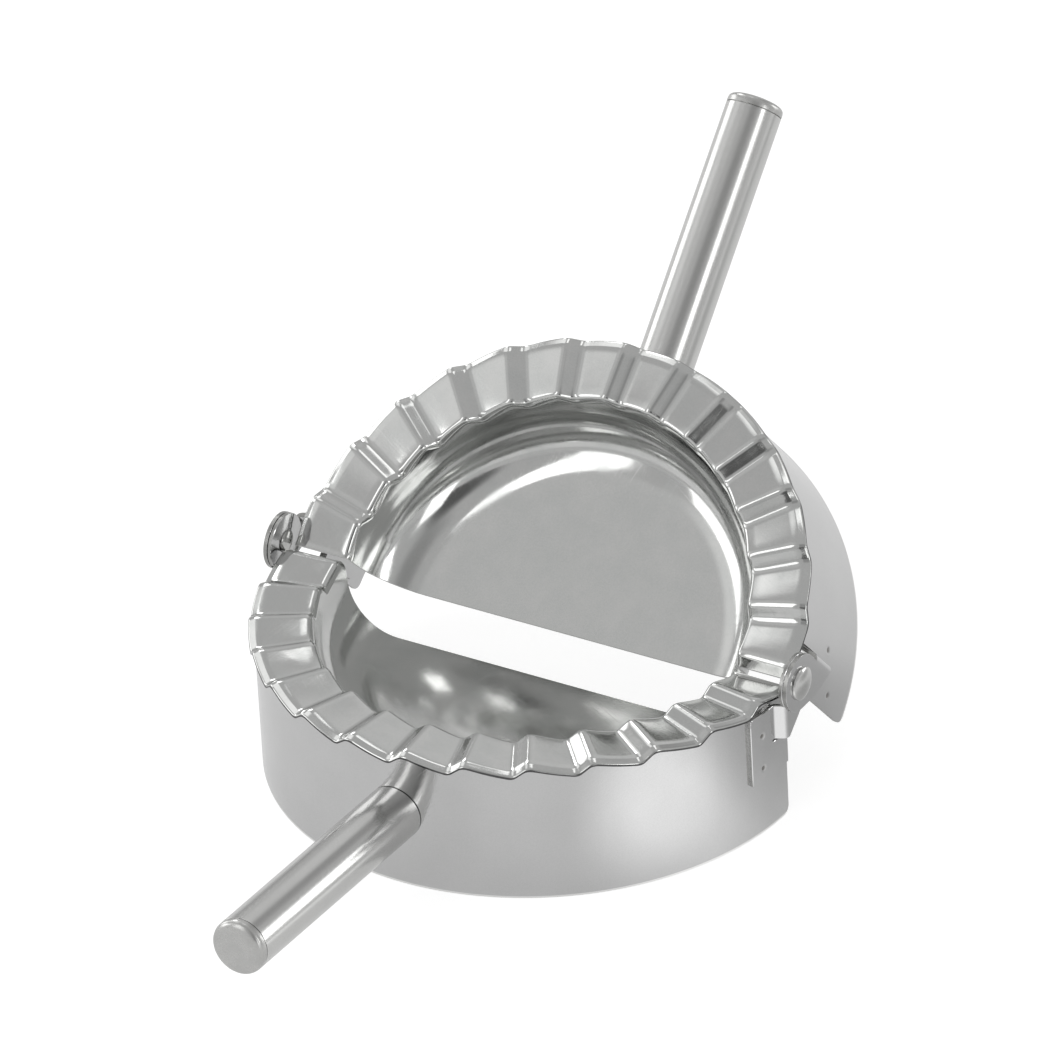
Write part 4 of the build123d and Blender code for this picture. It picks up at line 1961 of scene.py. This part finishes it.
@dataclass
class Studio:
    """The camera, the lamps, the pale floor and the backdrop. Angles are in degrees, lengths in metres."""

    azimuth: float = 32.219
    elevation: float = 31.934
    roll: float = -3.224
    distance: float = 2.680474
    lens: float = 424.1
    sensor_width: float = 36.0
    view_depth: float = 100.0
    target: tuple[float, float, float] = (-0.019406, 0.040306, 0.030001)
    floor_reach: float = 12.0
    backdrop_radius: float = 7.0
    backdrop_height: float = 0.9
    backdrop_sides: int = 96
    card_colour: float = 0.45
    camera_glow: float = 0.78
    mirror_glow: float = 0.44
    wall_brightness: float = 0.56
    lamps: tuple[SoftBox, ...] = (
        SoftBox("left_key", azimuth=-128, elevation=38, width=0.36, height=0.36, brightness=3.4),
        SoftBox("left_panel", azimuth=-98, elevation=17, width=0.8, height=0.6, brightness=1.4),
        SoftBox("overhead_panel", azimuth=-165, elevation=71, width=0.4, height=0.4, brightness=1.1),
        SoftBox("front_left_panel", azimuth=-60, elevation=13, width=0.75, height=0.5, brightness=1.5),
        SoftBox("front_panel", azimuth=-20, elevation=28, width=0.42, height=1.1, brightness=1.4),
        SoftBox("front_window", azimuth=46, elevation=8, width=0.38, height=0.5, brightness=1.7),
        SoftBox("right_strip", azimuth=79, elevation=22, width=0.3, height=0.6, brightness=2.4),
        SoftBox("back_window", azimuth=140, elevation=9, width=0.66, height=0.58, brightness=1.9),
    )
    wall_patches: tuple[WallPatch, ...] = (
        WallPatch(azimuth=165, elevation=40, radius=6, brightness=0.38),
        WallPatch(azimuth=-165, elevation=40, radius=10, brightness=0.72),
        WallPatch(azimuth=-140, elevation=4, radius=12, brightness=0.42),
        WallPatch(azimuth=-160, elevation=16, radius=7, brightness=0.80, softness=5),
        WallPatch(azimuth=38, elevation=46, radius=12, brightness=0.36),
        WallPatch(azimuth=-46, elevation=50, radius=10, brightness=0.66),
        WallPatch(azimuth=-60, elevation=30, radius=12, brightness=0.92, softness=7),
        WallPatch(azimuth=30, elevation=15, radius=13, brightness=0.13, softness=7),
        WallPatch(azimuth=-104, elevation=57, radius=8, brightness=1.3, softness=5),
        WallPatch(azimuth=-111, elevation=42, radius=9, brightness=1.3, softness=5),
    )
    # Painted light on the floor that only mirrors see: a painted pool of light to the front right, and
    # painted shadow of the mould to the right and behind.
    painted_floor_lights: tuple[PaintedFloorLight, ...] = (
        PaintedFloorLight(x=80 * MM, y=-30 * MM, radius=26 * MM, softness=18 * MM, glow=0.92),
        PaintedFloorLight(x=96 * MM, y=42 * MM, radius=32 * MM, softness=24 * MM, glow=0.16),
        PaintedFloorLight(x=205 * MM, y=150 * MM, radius=75 * MM, softness=40 * MM, glow=0.16),
        PaintedFloorLight(x=350 * MM, y=250 * MM, radius=115 * MM, softness=50 * MM, glow=0.16),
    )

    def camera(self) -> None:
        """Sets up the camera at the photograph's angle."""
        roll = math.radians(self.roll)
        back = direction(self.azimuth, self.elevation)
        right = direction(self.azimuth + 90, 0)
        up = back.cross(right)
        rolled_right = right * math.cos(roll) + up * math.sin(roll)
        rolled_up = up * math.cos(roll) - right * math.sin(roll)
        turn = Matrix((rolled_right, rolled_up, back)).transposed().to_4x4()
        data = bpy.data.cameras.new("camera")
        data.lens = self.lens
        data.sensor_width = self.sensor_width
        data.clip_end = self.view_depth
        camera = bpy.data.objects.new("camera", data)
        camera.matrix_world = Matrix.Translation(Vector(self.target) + back * self.distance) @ turn
        bpy.context.scene.collection.objects.link(camera)
        bpy.context.scene.camera = camera
        bpy.context.scene.view_settings.view_transform = "Standard"

    def mirrored_glow(self, wiring: Wiring) -> bpy.types.NodeSocket:
        """How brightly the floor shows in mirrors, place by place, with its painted pools of light and
        painted shadows.

        Args:
            wiring: The floor material's tree.

        Returns:
            The strength of its glow.
        """
        place = wiring.add("ShaderNodeNewGeometry").outputs["Position"]
        glow: object = self.mirror_glow
        for patch in self.painted_floor_lights:
            distance = wiring.compare("DISTANCE", place, (patch.x, patch.y, 0))
            near, far = patch.radius - patch.softness, patch.radius + patch.softness
            glow = wiring.mix(wiring.remap(distance, near, far, 1.0, 0.0), glow, patch.glow)
        return glow

    def white_card(self) -> bpy.types.Material:
        """A white surface that the camera sees evenly, that mirrors see with painted pools of light and
        painted shadows, and that still takes the mould's shadow.

        Returns:
            The material.
        """
        material = bpy.data.materials.new("white_card")
        material.use_nodes = True
        tree = material.node_tree
        tree.nodes.clear()
        wiring = Wiring(tree)
        path = wiring.add("ShaderNodeLightPath")
        mirrors = wiring.math("MAXIMUM", path.outputs["Is Glossy Ray"], path.outputs["Is Transmission Ray"])
        for_mirrors = wiring.math("MULTIPLY", mirrors, self.mirrored_glow(wiring))
        for_camera = wiring.math("MULTIPLY", path.outputs["Is Camera Ray"], self.camera_glow)
        glow = wiring.math("MAXIMUM", for_mirrors, for_camera)
        own = wiring.add("ShaderNodeEmission", {"Color": (1, 1, 1, 1), "Strength": glow})
        lit = wiring.add("ShaderNodeBsdfDiffuse", {"Color": (*[self.card_colour] * 3, 1)})
        both = wiring.add("ShaderNodeAddShader")
        wiring.feed(both.inputs[0], own.outputs[0])
        wiring.feed(both.inputs[1], lit.outputs[0])
        wiring.add("ShaderNodeOutputMaterial", {"Surface": both.outputs[0]})
        return material

    def cards(self) -> None:
        """Lays the pale floor and stands the backdrop round it."""
        signs = ((-1, -1), (1, -1), (1, 1), (-1, 1))
        corners = [(x * self.floor_reach, y * self.floor_reach, 0) for x, y in signs]
        floor = bpy.data.meshes.new("floor")
        floor.from_pydata(corners, [], [(0, 1, 2, 3)])
        sides = self.backdrop_sides
        ring = [direction(360 * side / sides, 0) * self.backdrop_radius for side in range(sides)]
        points = [place + Vector((0, 0, z)) for z in (0, self.backdrop_height) for place in ring]
        around = [(side, (side + 1) % sides) for side in range(sides)]
        faces = [(side, after, after + sides, side + sides) for side, after in around]
        backdrop = bpy.data.meshes.new("backdrop")
        backdrop.from_pydata(points, [], faces)
        backdrop.shade_smooth()
        white = self.white_card()
        for mesh in (floor, backdrop):
            mesh.materials.append(white)
            card = bpy.data.objects.new(mesh.name, mesh)
            bpy.context.scene.collection.objects.link(card)

    def room(self) -> None:
        """Lights the mould softly from the room's walls and ceiling."""
        world = bpy.data.worlds.new("room")
        bpy.context.scene.world = world
        world.use_nodes = True
        wiring = Wiring(world.node_tree)
        looking = wiring.add("ShaderNodeTexCoord").outputs["Generated"]
        level: object = self.wall_brightness
        for patch in self.wall_patches:
            nearness = wiring.compare("DOT_PRODUCT", looking, direction(patch.azimuth, patch.elevation))
            outside = math.cos(math.radians(patch.radius + patch.softness))
            inside = math.cos(math.radians(max(patch.radius - patch.softness, 0)))
            level = wiring.mix(wiring.remap(nearness, outside, inside), level, patch.brightness)
        colour = wiring.add("ShaderNodeCombineColor", {"Red": level, "Green": level, "Blue": level})
        wiring.feed(world.node_tree.nodes["Background"].inputs["Color"], colour.outputs[0])

    def build(self) -> None:
        """Sets up the whole studio, the camera first."""
        self.camera()
        for lamp in self.lamps:
            lamp.hang(Vector(self.target))
        self.cards()
        self.room()
        LOG.info("studio: %d lamps", len(self.lamps))


def main() -> None:
    """Loads the frame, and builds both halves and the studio."""
    logging.basicConfig(level=logging.INFO, format="%(name)s %(message)s")
    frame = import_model()
    hinge = HingeLine.of_frame(frame)
    Studio().build()
    for half in Half:
        MouldHalf(half, hinge, frame["nodes"]).build()
        LOG.info("%s half: done", half.value)


if __name__ == "__main__":
    main()
